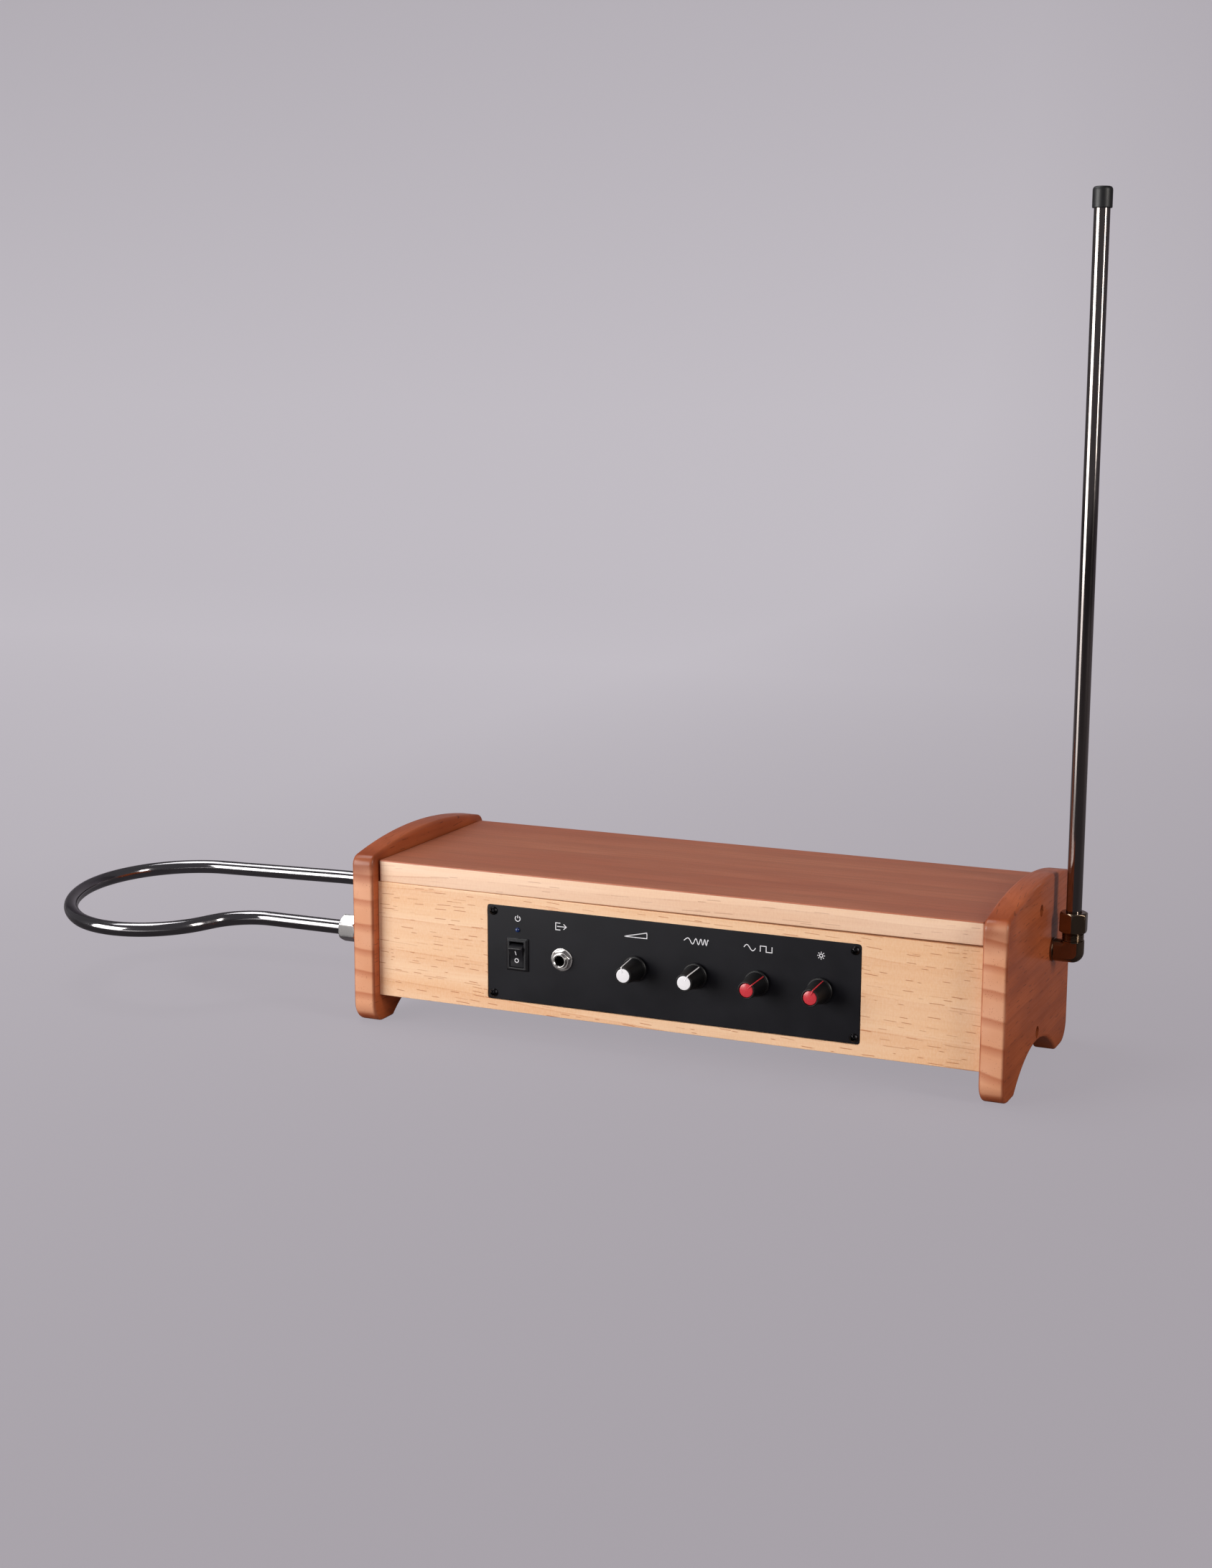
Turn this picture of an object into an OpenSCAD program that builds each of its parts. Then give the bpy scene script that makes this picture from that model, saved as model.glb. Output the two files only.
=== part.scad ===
// A theremin: a low wooden cabinet between two shaped cheeks, a black control panel let into
// its front wall, a straight upright pitch antenna on its right end and a bent volume loop on
// its left end. Millimetres. Box coordinates: X from the left cheek's inner face, Y from the
// front wall's face, Z from the underside of the box. The model stands on the cheeks' feet.

/* [Cabinet] */
// Width of the box, between the two cheeks
cab_w = 400; // [370:1:480]
// Depth of the box, front face to back face
cab_d = 142; // [136:1:170]
// Height of the front and back walls
wall_h = 75.5; // [72:0.5:95]
// Thickness of the front and back walls
wall_t = 12; // [11:0.5:14]
// Thickness of the floor board
floor_t = 14; // [12:0.5:18]
// Thickness of the lid
lid_t = 14; // [12:0.5:18]
// Gap between the lid and each cheek
lid_gap = 1; // [0.4:0.1:2]
// Fall of the front wall's top edge, at its right end
seam_open = 1.2; // [0:0.1:1.5]

/* [Cheeks] */
// Thickness of a cheek
cheek_t = 15; // [14:0.5:20]
// How far a cheek reaches past the box, front and back
cheek_over = 7.5; // [4:0.5:12]
// Height of the feet below the box
foot_h = 18.5; // [15:0.5:25]
// Height of the crown above the lid
crown_rise = 10.9; // [8:0.1:14]
// Radius of the crown
crown_r = 362; // [300:1:450]
// Radius of a cheek's top corners
cheek_corner_r = 7; // [4:0.5:10]
// Radius of a foot's outer corner
foot_r = 14; // [8:0.5:20]
// Radius of the arch between the feet
arch_r = 81; // [75:1:90]
// How far the arch reaches above the underside of the box
arch_lift = 0.8; // [0:0.1:2]

/* [Wood screws] */
// Shank diameter of the screws through the cheeks
cheek_screw_d = 4; // [3.5:0.1:5]
// Length of those screws below the head
cheek_screw_len = 34; // [30:1:45]
// Head diameter of those screws
cheek_screw_head_d = 7; // [6:0.1:8]
// Depth that their heads lie below the cheek's face
cheek_screw_sink = 0.8; // [0.3:0.1:2]
// Diameter of the flange's screws
flange_screw_d = 3.5; // [3:0.1:4.5]
// Length of the flange's screws
flange_screw_len = 12; // [8:0.5:13]

/* [Stand flange] */
// Diameter of the plate under the floor
flange_d = 60; // [50:1:75]
// Thickness of the plate
flange_t = 3; // [2:0.5:5]
// Diameter of the boss
boss_d = 25; // [22:0.5:30]
// How far the boss hangs below the plate
boss_h = 8; // [5:0.5:10]
// How far the flange's neck reaches up into the floor
neck_h = 7; // [4:0.5:10]
// Radius of the stand thread's wall
stand_r = 7.43; // [7:0.01:8]

/* [Control panel] */
// Width of the panel
panel_w = 246.5; // [244:0.5:260]
// Height of the panel
panel_h = 61; // [58:0.5:64]
// Thickness of the panel
panel_t = 2; // [1.5:0.1:3]
// Radius of the panel's corners
panel_r = 2; // [1:0.5:4]
// Left edge of the panel, from the left end of the box
panel_x = 79; // [60:1:100]
// Depth of the panel's face below the wall's face
panel_sink = 0.4; // [0:0.1:0.8]
// Gap round the panel
panel_gap = 0.35; // [0.2:0.05:0.6]
// Width of the ledge that the panel lies on
ledge_w = 8; // [7:0.5:9]
// Inset of the panel's screws from its edges
panel_screw_inset = 3.8; // [3.5:0.1:4.5]
// Shank diameter of the panel's screws
panel_screw_d = 2.6; // [2.2:0.1:3]
// Head diameter of the panel's screws
panel_screw_head_d = 5.4; // [4.8:0.1:6]
// Length of the panel's screws below the head
panel_screw_len = 9; // [6:0.5:10]

/* [Switch and lamp] */
// Centre of the switch, from the panel's left edge
switch_x = 20.8; // [20:0.1:24]
// Width of the switch's bezel
bezel_w = 15; // [14:0.5:17]
// Height of the switch's bezel
bezel_h = 21; // [20:0.5:23]
// Thickness of the bezel
bezel_t = 2; // [1.5:0.1:2.5]
// Width of the rocker
rocker_w = 9.4; // [8.5:0.1:9.6]
// Height of the rocker's opening
rocker_gap_h = 16.6; // [16.4:0.1:17]
// Tilt of the rocker to each side
rocker_tilt = 14; // [10:0.5:14.5]
// Height of the lamp above the row of controls
lamp_rise = 15.9; // [15:0.1:18]
// Diameter of the lamp
lamp_d = 3; // [3:0.5:5]

/* [Output jack] */
// Centre of the jack, from the panel's left edge
jack_x = 51.6; // [45:0.1:56]
// Outer diameter of the jack's bushing
jack_d = 9; // [8.5:0.1:10]
// Radius of the socket's wall
jack_r = 3.2; // [3:0.01:3.4]
// How far the bushing stands out of the panel
jack_out = 4.9; // [4:0.1:6]
// Depth of the socket
jack_depth = 28; // [24:0.5:32]
// Width of the jack's nut, across the flats
jack_nut_af = 11.4; // [11:0.1:13]
// Diameter of the jack's washer
jack_washer_d = 14.6; // [13.5:0.1:16]

/* [Knobs and potentiometers] */
// Centre of the last knob, from the panel's right edge
knob_margin = 25; // [22:0.5:30]
// Distance between two knobs
knob_pitch = 40; // [30:0.5:42]
// Diameter of a knob's skirt
skirt_d = 16; // [15:0.1:20]
// Diameter of a knob's body at the skirt
knob_foot_d = 14.2; // [14:0.1:15]
// Diameter of a knob's body at its top
knob_top_d = 10.6; // [10:0.1:12]
// Height of a knob's top above the panel
knob_h = 19.6; // [18:0.1:24]
// Gap between a knob and the panel
knob_clear = 1.2; // [0.8:0.1:1.5]
// Diameter of the coloured cap
cap_d = 8.6; // [7:0.1:9]
// Width of the pointer
pointer_w = 0.9; // [0.6:0.1:1.4]
// Where the four pointers stand, in degrees clockwise from the top
pointer_turn = [-13, 28, 43, 20];
// Diameter of the shafts
shaft_d = 6; // [5:0.1:6.2]
// Diameter of the potentiometers' bushings
bushing_d = 7.4; // [7:0.1:8]
// Diameter of the potentiometers' cans
can_d = 16.5; // [15:0.1:18]
// Depth of the potentiometers' cans
can_h = 7.5; // [6:0.5:9]

/* [Circuit board] */
// Left edge of the main board, from the panel's left edge
board_side = 26; // [20:0.5:30]
// Width of the main board
board_w = 190; // [170:1:240]
// Depth of the main board
board_d = 84; // [74:1:86]
// Thickness of the boards
board_t = 1.6; // [1:0.1:2]
// Height of the standoffs
standoff_h = 8; // [5:0.5:12]

/* [Tube fittings] */
// Outer diameter of both antennas' tube
tube_d = 9.5; // [8:0.1:10]
// Wall of the tube
tube_wall = 1; // [0.6:0.1:1.5]
// Width of a compression nut, across the flats
nut_af = 15.9; // [15.5:0.1:19]
// Length of a compression nut
nut_len = 12.5; // [11:0.1:15]
// Outer diameter of the fittings' thread
thread_d = 13.4; // [13:0.1:14]
// Length of thread that shows below a nut
thread_show = 5.2; // [3:0.1:7]
// Length of thread inside a nut
thread_in = 6; // [5:0.1:7]
// Diameter of the fittings' stub through the cheek
stub_d = 12; // [11:0.1:12.5]
// Width of the locknuts, across the flats
locknut_af = 17; // [16:0.1:18]
// Thickness of the locknuts
locknut_t = 4; // [3:0.1:5]
// Depth of the locknuts' recess in a cheek
locknut_recess = 6; // [5:0.1:7]
// Radial clearance of a tube in its fitting
tube_fit = 0.05; // [0.02:0.01:0.1]

/* [Pitch antenna] */
// Distance of the elbow behind the front wall's face
elbow_y = 102; // [90:1:112]
// Height of the elbow above the underside of the box
elbow_z = 51.5; // [40:0.5:56]
// Distance of the antenna's axis from the cheek's face
elbow_out = 12.5; // [11:0.1:20]
// Radius of the elbow's round body
elbow_r = 7; // [6.8:0.1:8]
// Width between the elbow's flats
elbow_flat = 11.4; // [10:0.1:13]
// Height of the antenna's tip above the elbow's axis
antenna_len = 454.6; // [350:1:600]
// Diameter of the end cap
end_cap_d = 11.7; // [11:0.1:14]
// Length of the end cap
end_cap_len = 12.4; // [9:0.1:18]

/* [Volume loop] */
// Distance between the loop's two legs
loop_gap = 108; // [100:1:112]
// Height of the loop's middle above the underside of the box
loop_z = 40.2; // [38:0.1:46]
// Tilt of the loop: its rear leg lies higher
loop_tilt = 3.05; // [0:0.05:3.5]
// Straight front leg, from the cheek to the first bend
front_run = 77.6; // [60:0.5:100]
// Straight end of the rear leg, from the cheek to its bend
rear_run = 77; // [50:0.5:90]
// Radius of the front leg's outward bend
neck_r = 38; // [30:0.5:50]
// Angle of that bend
neck_turn = 61; // [50:0.5:65]
// Straight length after that bend
neck_run = 7; // [3:0.5:15]
// Radius of the bow's front bend
bow_front_r = 59; // [50:0.5:70]
// Angle of the bow's front bend
bow_front_turn = 96; // [88:0.5:102]
// Radius of the bow's outer bend
bow_outer_r = 101; // [90:0.5:120]
// Angle of the bow's outer bend
bow_outer_turn = 43; // [35:0.5:46]
// Slant of the rear leg
rear_slant = 4.8; // [2:0.1:6]
// Radius of the small bend at the end of the slant
rear_bend_r = 150; // [100:5:200]

/* [Hidden] */
$fn = 72;

// Colours, as the photograph shows them
pale_wood = "#E3B27E";
stained_wood = "#B5683A";
black_metal = "#2A2930";
black_plastic = "#17171A";
chrome = "#C9C9CE";
nickel = "#6E5A45";
green_board = "#1F5A3A";

// Small steps: an overlap for cuts, and the clearance of parts that slip together
cut = 1;
slip = 0.1;
run_fit = 0.05;

// Heights of the box
lid_z = wall_h;
lid_top = lid_z + lid_t;
crown_z = lid_top + crown_rise;
mid_y = cab_d / 2;
screw_heights = [floor_t / 2, lid_z + lid_t / 2];

// Panel and its row of controls
panel_z = (wall_h - panel_h) / 2;
row_z = wall_h / 2;
face_y = panel_sink;
panel_back = face_y + panel_t;
knob_x = [for (i = [0:3]) panel_x + panel_w - knob_margin - (3 - i) * knob_pitch];
switch_cx = panel_x + switch_x;
jack_cx = panel_x + jack_x;

// Rocker: its pivot lies this far behind the panel's face; lengths are from the pivot
pivot_in = 4;
rocker_waist = 5.75;
rocker_reach = rocker_gap_h / 2 - 1.7;
rocker_tip = rocker_waist + rocker_reach * tan(rocker_tilt);
pivot_pin_d = 2;
housing_w = bezel_w - 2;
housing_h = bezel_h - 2;
housing_depth = 14;
pocket_depth = 8;

// Circuit boards
board_x = panel_x + board_side;
board_y = cab_d - wall_t - 8 - board_d;
board_z = floor_t + standoff_h;
board_top = board_z + board_t;
board_inset = 5;
standoff_d = 6;
stud_d = 3;
stud_len = 6;
control_y = panel_back + can_h + 1.2;
control_h = 38;
control_x0 = knob_x[0] - can_d / 2 - 1;
control_x1 = knob_x[3] + can_d / 2 + 1;
ribbon_x = knob_x[1] + knob_pitch / 2;
ribbon_w = 22;
ribbon_t = 1;
header_h = 8;
header_y = board_y + 8;

// Tube fittings, measured along a fitting's own axis from the cheek's face or the elbow
collar_t = 3.3;
collar_af = 16.5;
thread_len = thread_show + thread_in;
nut_r = nut_af / 2 / cos(30);
tube_r = tube_d / 2;
seat_depth = 6;
ferrule_len = 3.4;
ferrule_r = thread_d / 2 - 0.5;
ferrule_rise = thread_in + 0.3;
tail_len = 9;
tail_d = 5;
fitting_z = -(cheek_t - locknut_recess) - locknut_t;
nut_turn = 34;
elbow_top = elbow_r;
pitch_nut_z = elbow_top + thread_show;
loop_nut_z = collar_t + thread_show;
elbow_x = cab_w + cheek_t + elbow_out;
pitch_seat = elbow_top - seat_depth;

// Legs of the loop: box coordinates of its two holes in the cheek
function leg_y(side) = mid_y + side * loop_gap / 2 * cos(loop_tilt);
function leg_z(side) = loop_z + side * loop_gap / 2 * sin(loop_tilt);

// Route of the loop in its own plane: origin at the cheek's inner face midway between the
// legs, X to the right, Y to the rear. h1 to h5 are the headings between the bends.
function along(h) = [cos(h), sin(h)];
function left_of(h) = [-sin(h), cos(h)];
h1 = 180;
h2 = h1 + neck_turn;
h3 = h2 - bow_front_turn;
h4 = h3 - bow_outer_turn;
h5 = rear_slant;
leg_end = -cheek_t - collar_t - thread_len + seat_depth;
p1 = [-cheek_t - front_run, -loop_gap / 2];
c1 = p1 + neck_r * left_of(h1);
p2 = c1 - neck_r * left_of(h2);
p3 = p2 + neck_run * along(h2);
c2 = p3 - bow_front_r * left_of(h2);
p4 = c2 + bow_front_r * left_of(h3);
c3 = p4 - bow_outer_r * left_of(h3);
p5 = c3 + bow_outer_r * left_of(h4);
rear_x = -cheek_t - rear_run - rear_bend_r * sin(rear_slant);
// The bow's last bend takes the radius that brings the rear leg to its hole
turn_step = left_of(h5) - left_of(h4);
bow_rear_r = (loop_gap / 2 - p5[1] - (rear_x - p5[0]) * tan(h5) - rear_bend_r * (1 - cos(h5)))
    / (turn_step[1] - turn_step[0] * tan(h5));
c4 = p5 - bow_rear_r * left_of(h4);
p6 = c4 + bow_rear_r * left_of(h5);
p7 = [rear_x, p6[1] + (rear_x - p6[0]) * tan(h5)];
c5 = p7 - rear_bend_r * left_of(h5);
p8 = c5 + rear_bend_r * left_of(0);

// The origin is the centre of the whole model's outline on the ground
loop_left = c4[0] - bow_rear_r - tube_r;
antenna_right = elbow_x + nut_r * cos(60 - nut_turn);
loop_front = mid_y + (c2[1] - bow_front_r) * cos(loop_tilt) - tube_r;
box_at = [
    -(loop_left + antenna_right) / 2,
    -(loop_front + cab_d + cheek_over) / 2,
    foot_h];

module in_box() {
    translate(box_at) children();
}

// Local Z turned to point to the front (-Y), to the right (+X) or to the left (-X)
module facing_front() {
    rotate([90, 0, 0]) children();
}

module facing_right() {
    rotate([0, 90, 0]) children();
}

module facing_left() {
    rotate([0, -90, 0]) children();
}

module drill(d, len) {
    cylinder(d = d, h = len);
}

// A rectangle with round corners
module round_rect(w, h, r) {
    translate([r, 0]) square([w - 2 * r, h]);
    translate([0, r]) square([w, h - 2 * r]);
    for (x = [r, w - r]) {
        for (y = [r, h - r]) {
            translate([x, y]) circle(r);
        }
    }
}

// A pan-head screw: its head stands on z = 0, its shank hangs below
module pan_screw(d, len, head_d) {
    head_h = 0.38 * head_d;
    dome_r = 0.75 * head_d;
    difference() {
        intersection() {
            cylinder(d = head_d, h = head_h);
            translate([0, 0, head_h - dome_r]) sphere(dome_r);
        }
        for (a = [0, 90]) {
            rotate([0, 0, a]) {
                translate([-0.3 * head_d, -0.075 * head_d, 0.4 * head_h]) {
                    cube([0.6 * head_d, 0.15 * head_d, head_h]);
                }
            }
        }
    }
    translate([0, 0, -len + d / 2]) cylinder(d = d, h = len - d / 2);
    translate([0, 0, -len]) cylinder(d1 = 0.2 * d, d2 = d, h = d / 2);
}

module hex_ring(af, t, bore_d) {
    difference() {
        cylinder(d = af / cos(30), h = t, $fn = 6);
        translate([0, 0, -cut]) drill(bore_d, t + 2 * cut);
    }
}

// ---- Cabinet ----

module floor_board() {
    inner_d = cab_d - 2 * wall_t;
    color(pale_wood) in_box() difference() {
        translate([0, wall_t, 0]) cube([cab_w, inner_d, floor_t]);
        translate([cab_w / 2, mid_y, -cut]) drill(boss_d - 3 + 2 * slip, neck_h + slip + cut);
        translate([0, mid_y, screw_heights[0]]) {
            translate([-cut, 0, 0]) facing_right() drill(cheek_screw_d, cheek_screw_len);
            translate([cab_w + cut, 0, 0]) facing_left() drill(cheek_screw_d, cheek_screw_len);
        }
        flange_screw_places() {
            translate([0, 0, -cut]) drill(flange_screw_d, flange_screw_len + cut);
        }
        standoff_places() {
            translate([0, 0, floor_t - stud_len - slip]) drill(stud_d, stud_len + slip + cut);
        }
    }
}

module front_board() {
    cut_w = panel_w + 2 * panel_gap;
    cut_h = panel_h + 2 * panel_gap;
    color(pale_wood) in_box() difference() {
        translate([0, wall_t, 0]) facing_front() linear_extrude(wall_t) {
            polygon([[0, 0], [cab_w, 0], [cab_w, wall_h - seam_open], [0, wall_h]]);
        }
        translate([panel_x - panel_gap, panel_back, panel_z - panel_gap]) {
            facing_front() linear_extrude(panel_back + cut) {
                round_rect(cut_w, cut_h, panel_r + panel_gap);
            }
        }
        translate([panel_x + ledge_w, -cut, panel_z + ledge_w]) {
            cube([panel_w - 2 * ledge_w, wall_t + 2 * cut, panel_h - 2 * ledge_w]);
        }
        panel_screw_places() {
            translate([0, 0, -panel_screw_len - slip]) drill(panel_screw_d, panel_screw_len + slip);
        }
    }
}

module back_board() {
    color(pale_wood) in_box() difference() {
        translate([0, cab_d - wall_t, 0]) cube([cab_w, wall_t, wall_h]);
        dc_place() translate([0, 0, -cut]) drill(dc_thread_d + 2 * slip, wall_t + 2 * cut);
    }
}

module lid() {
    color(pale_wood) in_box() difference() {
        translate([lid_gap, 0, lid_z]) cube([cab_w - 2 * lid_gap, cab_d, lid_t]);
        translate([0, mid_y, screw_heights[1]]) {
            facing_right() drill(cheek_screw_d, cheek_screw_len);
            translate([cab_w, 0, 0]) facing_left() drill(cheek_screw_d, cheek_screw_len);
        }
    }
}

// Points of an arc about c from angle a0 to a1 in n steps, with or without its last point
function arc(c, r, a0, a1, n, last = 1) = [
    for (i = [0:n - 1 + last]) let (a = a0 + (a1 - a0) * i / n) c + r * [cos(a), sin(a)]];

// Outline of a cheek: X is the box's Y, Y is the box's Z
module cheek_outline() {
    half_w = mid_y + cheek_over;
    corner_off = half_w - cheek_corner_r;
    foot_off = half_w - foot_r;
    crown_c = [0, crown_z - crown_r];
    corner_z = crown_c[1] + sqrt(pow(crown_r - cheek_corner_r, 2) - pow(corner_off, 2));
    arch_c = [0, arch_lift - arch_r];
    spring = asin((-foot_h - arch_c[1]) / arch_r);
    tilt = 90 - asin(corner_off / (crown_r - cheek_corner_r));
    translate([mid_y, 0]) polygon(concat(
        arc([-foot_off, foot_r - foot_h], foot_r, 180, 270, 12),
        arc(arch_c, arch_r, 180 - spring, spring, 32),
        arc([foot_off, foot_r - foot_h], foot_r, 270, 360, 12),
        arc([corner_off, corner_z], cheek_corner_r, 0, tilt, 10, 0),
        arc(crown_c, crown_r, tilt, 180 - tilt, 32, 0),
        arc([-corner_off, corner_z], cheek_corner_r, 180 - tilt, 180, 10)));
}

// A cheek from x = 0 (its inner face) to x = cheek_t, with its two screw holes
module cheek() {
    head_h = 0.38 * cheek_screw_head_d;
    bore_depth = cheek_screw_sink + head_h;
    difference() {
        rotate([90, 0, 90]) linear_extrude(cheek_t) cheek_outline();
        for (z = screw_heights) {
            translate([-cut, mid_y, z]) facing_right() {
                drill(cheek_screw_d + 2 * slip, cheek_t + 2 * cut);
            }
            translate([cheek_t - bore_depth, mid_y, z]) facing_right() {
                drill(cheek_screw_head_d + 4 * slip, bore_depth + cut);
            }
        }
    }
}

// Hole and locknut recess of a tube fitting, cut from the inner face (x = 0)
module fitting_hole() {
    translate([-cut, 0, 0]) facing_right() {
        drill(stub_d + 2 * slip, cheek_t + 2 * cut);
        drill(locknut_af / cos(30) + 1, locknut_recess + cut);
    }
}

module left_cheek() {
    color(stained_wood) in_box() mirror([1, 0, 0]) difference() {
        cheek();
        for (side = [-1, 1]) {
            translate([0, leg_y(side), leg_z(side)]) fitting_hole();
        }
    }
}

module right_cheek() {
    color(stained_wood) in_box() translate([cab_w, 0, 0]) difference() {
        cheek();
        translate([0, elbow_y, elbow_z]) fitting_hole();
    }
}

module cheek_screws() {
    head_h = 0.38 * cheek_screw_head_d;
    seat = cheek_t - cheek_screw_sink - head_h;
    color(chrome) in_box() for (z = screw_heights) {
        translate([-seat, mid_y, z]) facing_left() {
            pan_screw(cheek_screw_d, cheek_screw_len, cheek_screw_head_d);
        }
        translate([cab_w + seat, mid_y, z]) facing_right() {
            pan_screw(cheek_screw_d, cheek_screw_len, cheek_screw_head_d);
        }
    }
}

// ---- Stand flange ----

module flange_screw_places() {
    for (a = [45:90:315]) {
        ring_r = (flange_d + boss_d) / 4;
        translate([cab_w / 2 + ring_r * cos(a), mid_y + ring_r * sin(a), 0]) children();
    }
}

module stand_flange() {
    color(black_metal) in_box() difference() {
        translate([cab_w / 2, mid_y, 0]) difference() {
            union() {
                translate([0, 0, -flange_t]) cylinder(d = flange_d, h = flange_t);
                translate([0, 0, -flange_t - boss_h]) cylinder(d = boss_d, h = boss_h + cut);
                translate([0, 0, -cut]) cylinder(d = boss_d - 3, h = neck_h + cut);
            }
            translate([0, 0, -flange_t - boss_h - cut]) {
                drill(2 * stand_r, flange_t + boss_h + neck_h + 2 * cut);
            }
        }
        flange_screw_places() {
            translate([0, 0, -flange_t - cut]) drill(flange_screw_d + 2 * slip, flange_t + 2 * cut);
        }
    }
}

module flange_screws() {
    color(black_metal) in_box() flange_screw_places() {
        translate([0, 0, -flange_t]) mirror([0, 0, 1]) {
            pan_screw(flange_screw_d, flange_screw_len, 1.9 * flange_screw_d);
        }
    }
}

// ---- Control panel ----

// Places of the panel's screws, with local Z out of the panel's face
module panel_screw_places() {
    for (x = [panel_screw_inset, panel_w - panel_screw_inset]) {
        for (z = [panel_screw_inset, panel_h - panel_screw_inset]) {
            translate([panel_x + x, face_y, panel_z + z]) facing_front() children();
        }
    }
}

// Places of the potentiometers, with local Z out of the panel's face
module knob_place(i) {
    translate([knob_x[i], face_y, row_z]) facing_front() children();
}

module control_panel() {
    through = panel_t + 2 * cut;
    color(black_metal) in_box() difference() {
        translate([panel_x, panel_back, panel_z]) facing_front() linear_extrude(panel_t) {
            round_rect(panel_w, panel_h, panel_r);
        }
        panel_screw_places() {
            translate([0, 0, -panel_t - cut]) drill(panel_screw_d + 2 * slip, through);
        }
        for (i = [0:3]) {
            knob_place(i) translate([0, 0, -panel_t - cut]) drill(bushing_d + 2 * slip, through);
        }
        translate([jack_cx, face_y, row_z]) facing_front() {
            translate([0, 0, -panel_t - cut]) drill(jack_d + 2 * slip, through);
        }
        translate([switch_cx, face_y, row_z + lamp_rise]) facing_front() {
            translate([0, 0, -panel_t - cut]) drill(lamp_d + slip, through);
        }
        translate([switch_cx - housing_w / 2 - slip, face_y - cut, row_z - housing_h / 2 - slip]) {
            cube([housing_w + 2 * slip, through, housing_h + 2 * slip]);
        }
    }
}

module panel_screws() {
    color(black_metal) in_box() panel_screw_places() {
        pan_screw(panel_screw_d, panel_screw_len, panel_screw_head_d);
    }
}

// ---- Switch and lamp ----

module switch_housing() {
    slope = 1.2;
    color(black_plastic) in_box() translate([switch_cx, face_y, row_z]) facing_front() difference() {
        union() {
            // The bezel is a frame whose front edges slope
            translate([-bezel_w / 2, -bezel_h / 2, 0]) cube([bezel_w, bezel_h, bezel_t - slope]);
            rotate([0, -90, 0]) translate([0, 0, -bezel_w / 2]) {
                intersection() {
                    linear_extrude(bezel_w) polygon([
                        [0, -bezel_h / 2], [bezel_t - slope, -bezel_h / 2],
                        [bezel_t, slope - bezel_h / 2], [bezel_t, bezel_h / 2 - slope],
                        [bezel_t - slope, bezel_h / 2], [0, bezel_h / 2]]);
                    translate([0, bezel_h / 2, bezel_w / 2]) rotate([90, 0, 0]) {
                        linear_extrude(bezel_h) polygon([
                            [0, -bezel_w / 2], [bezel_t - slope, -bezel_w / 2],
                            [bezel_t, slope - bezel_w / 2], [bezel_t, bezel_w / 2 - slope],
                            [bezel_t - slope, bezel_w / 2], [0, bezel_w / 2]]);
                    }
                }
            }
            translate([-housing_w / 2, -housing_h / 2, -housing_depth]) {
                cube([housing_w, housing_h, housing_depth + slope / 2]);
            }
            for (y = [-6, 0, 6]) {
                translate([-2.4, y - 0.4, -housing_depth - 7]) cube([4.8, 0.8, 7 + cut]);
            }
        }
        translate([-rocker_w / 2 - 2 * slip, -rocker_gap_h / 2, -pocket_depth]) {
            cube([rocker_w + 4 * slip, rocker_gap_h, pocket_depth + bezel_t + cut]);
        }
        translate([-housing_w / 2 + 0.3, 0, -pivot_in]) facing_right() {
            drill(pivot_pin_d + 2 * run_fit, housing_w - 0.6);
        }
    }
}

// The rocker at rest: its lower half is pressed in
module rocker() {
    side_w = 7.6 + (rocker_gap_h - 16.6) / 2;
    color(black_plastic) in_box() translate([switch_cx, face_y + pivot_in, row_z]) {
        rotate([rocker_tilt, 0, 0]) {
            translate([-rocker_w / 2, 0, 0]) rotate([90, 0, 90]) linear_extrude(rocker_w) {
                polygon([
                    [-rocker_tip, rocker_reach], [-rocker_waist, 0], [-rocker_tip, -rocker_reach],
                    [-2.5, -side_w], [1.5, -5.5], [1.5, 5.5], [-2.5, side_w]]);
            }
            translate([-housing_w / 2 + 0.6, 0, 0]) facing_right() {
                cylinder(d = pivot_pin_d, h = housing_w - 1.2);
            }
        }
    }
}

module power_lamp() {
    color("#1F3F7F") in_box() translate([switch_cx, face_y, row_z + lamp_rise]) facing_front() {
        translate([0, 0, -panel_t]) cylinder(d = lamp_d, h = panel_t + 0.2);
        translate([0, 0, 0.2]) intersection() {
            sphere(d = lamp_d);
            cylinder(d = lamp_d + cut, h = lamp_d);
        }
        translate([0, 0, -panel_t - 1.2]) cylinder(d = lamp_d + 0.9, h = 1.2);
        for (x = [-1.27, 1.27]) {
            translate([x / 2.54 * 1.6, 0, -panel_t - 7]) cylinder(d = 0.6, h = 6);
        }
    }
}

// ---- Output jack ----

jack_body_w = 15;
jack_washer_t = 0.8;
jack_nut_t = 2.4;
jack_body_depth = jack_depth - jack_out - panel_t + 1.5;

module jack_place() {
    translate([jack_cx, face_y, row_z]) facing_front() children();
}

module jack_bushing() {
    color(chrome) in_box() jack_place() difference() {
        translate([0, 0, -panel_t - 4]) cylinder(d = jack_d, h = panel_t + 4 + jack_out);
        translate([0, 0, -panel_t - 4 - cut]) drill(2 * jack_r, panel_t + 4 + jack_out + 2 * cut);
        translate([0, 0, jack_out - 0.6]) cylinder(r1 = jack_r, r2 = jack_r + 0.8, h = 0.8);
    }
}

module jack_body() {
    color(black_plastic) in_box() jack_place() difference() {
        translate([-jack_body_w / 2, -jack_body_w / 2, -panel_t - jack_body_depth]) {
            cube([jack_body_w, jack_body_w, jack_body_depth]);
        }
        translate([0, 0, -panel_t - 4]) drill(jack_d, 4 + cut);
        translate([0, 0, jack_out - jack_depth]) drill(2 * jack_r, jack_depth);
    }
}

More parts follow.
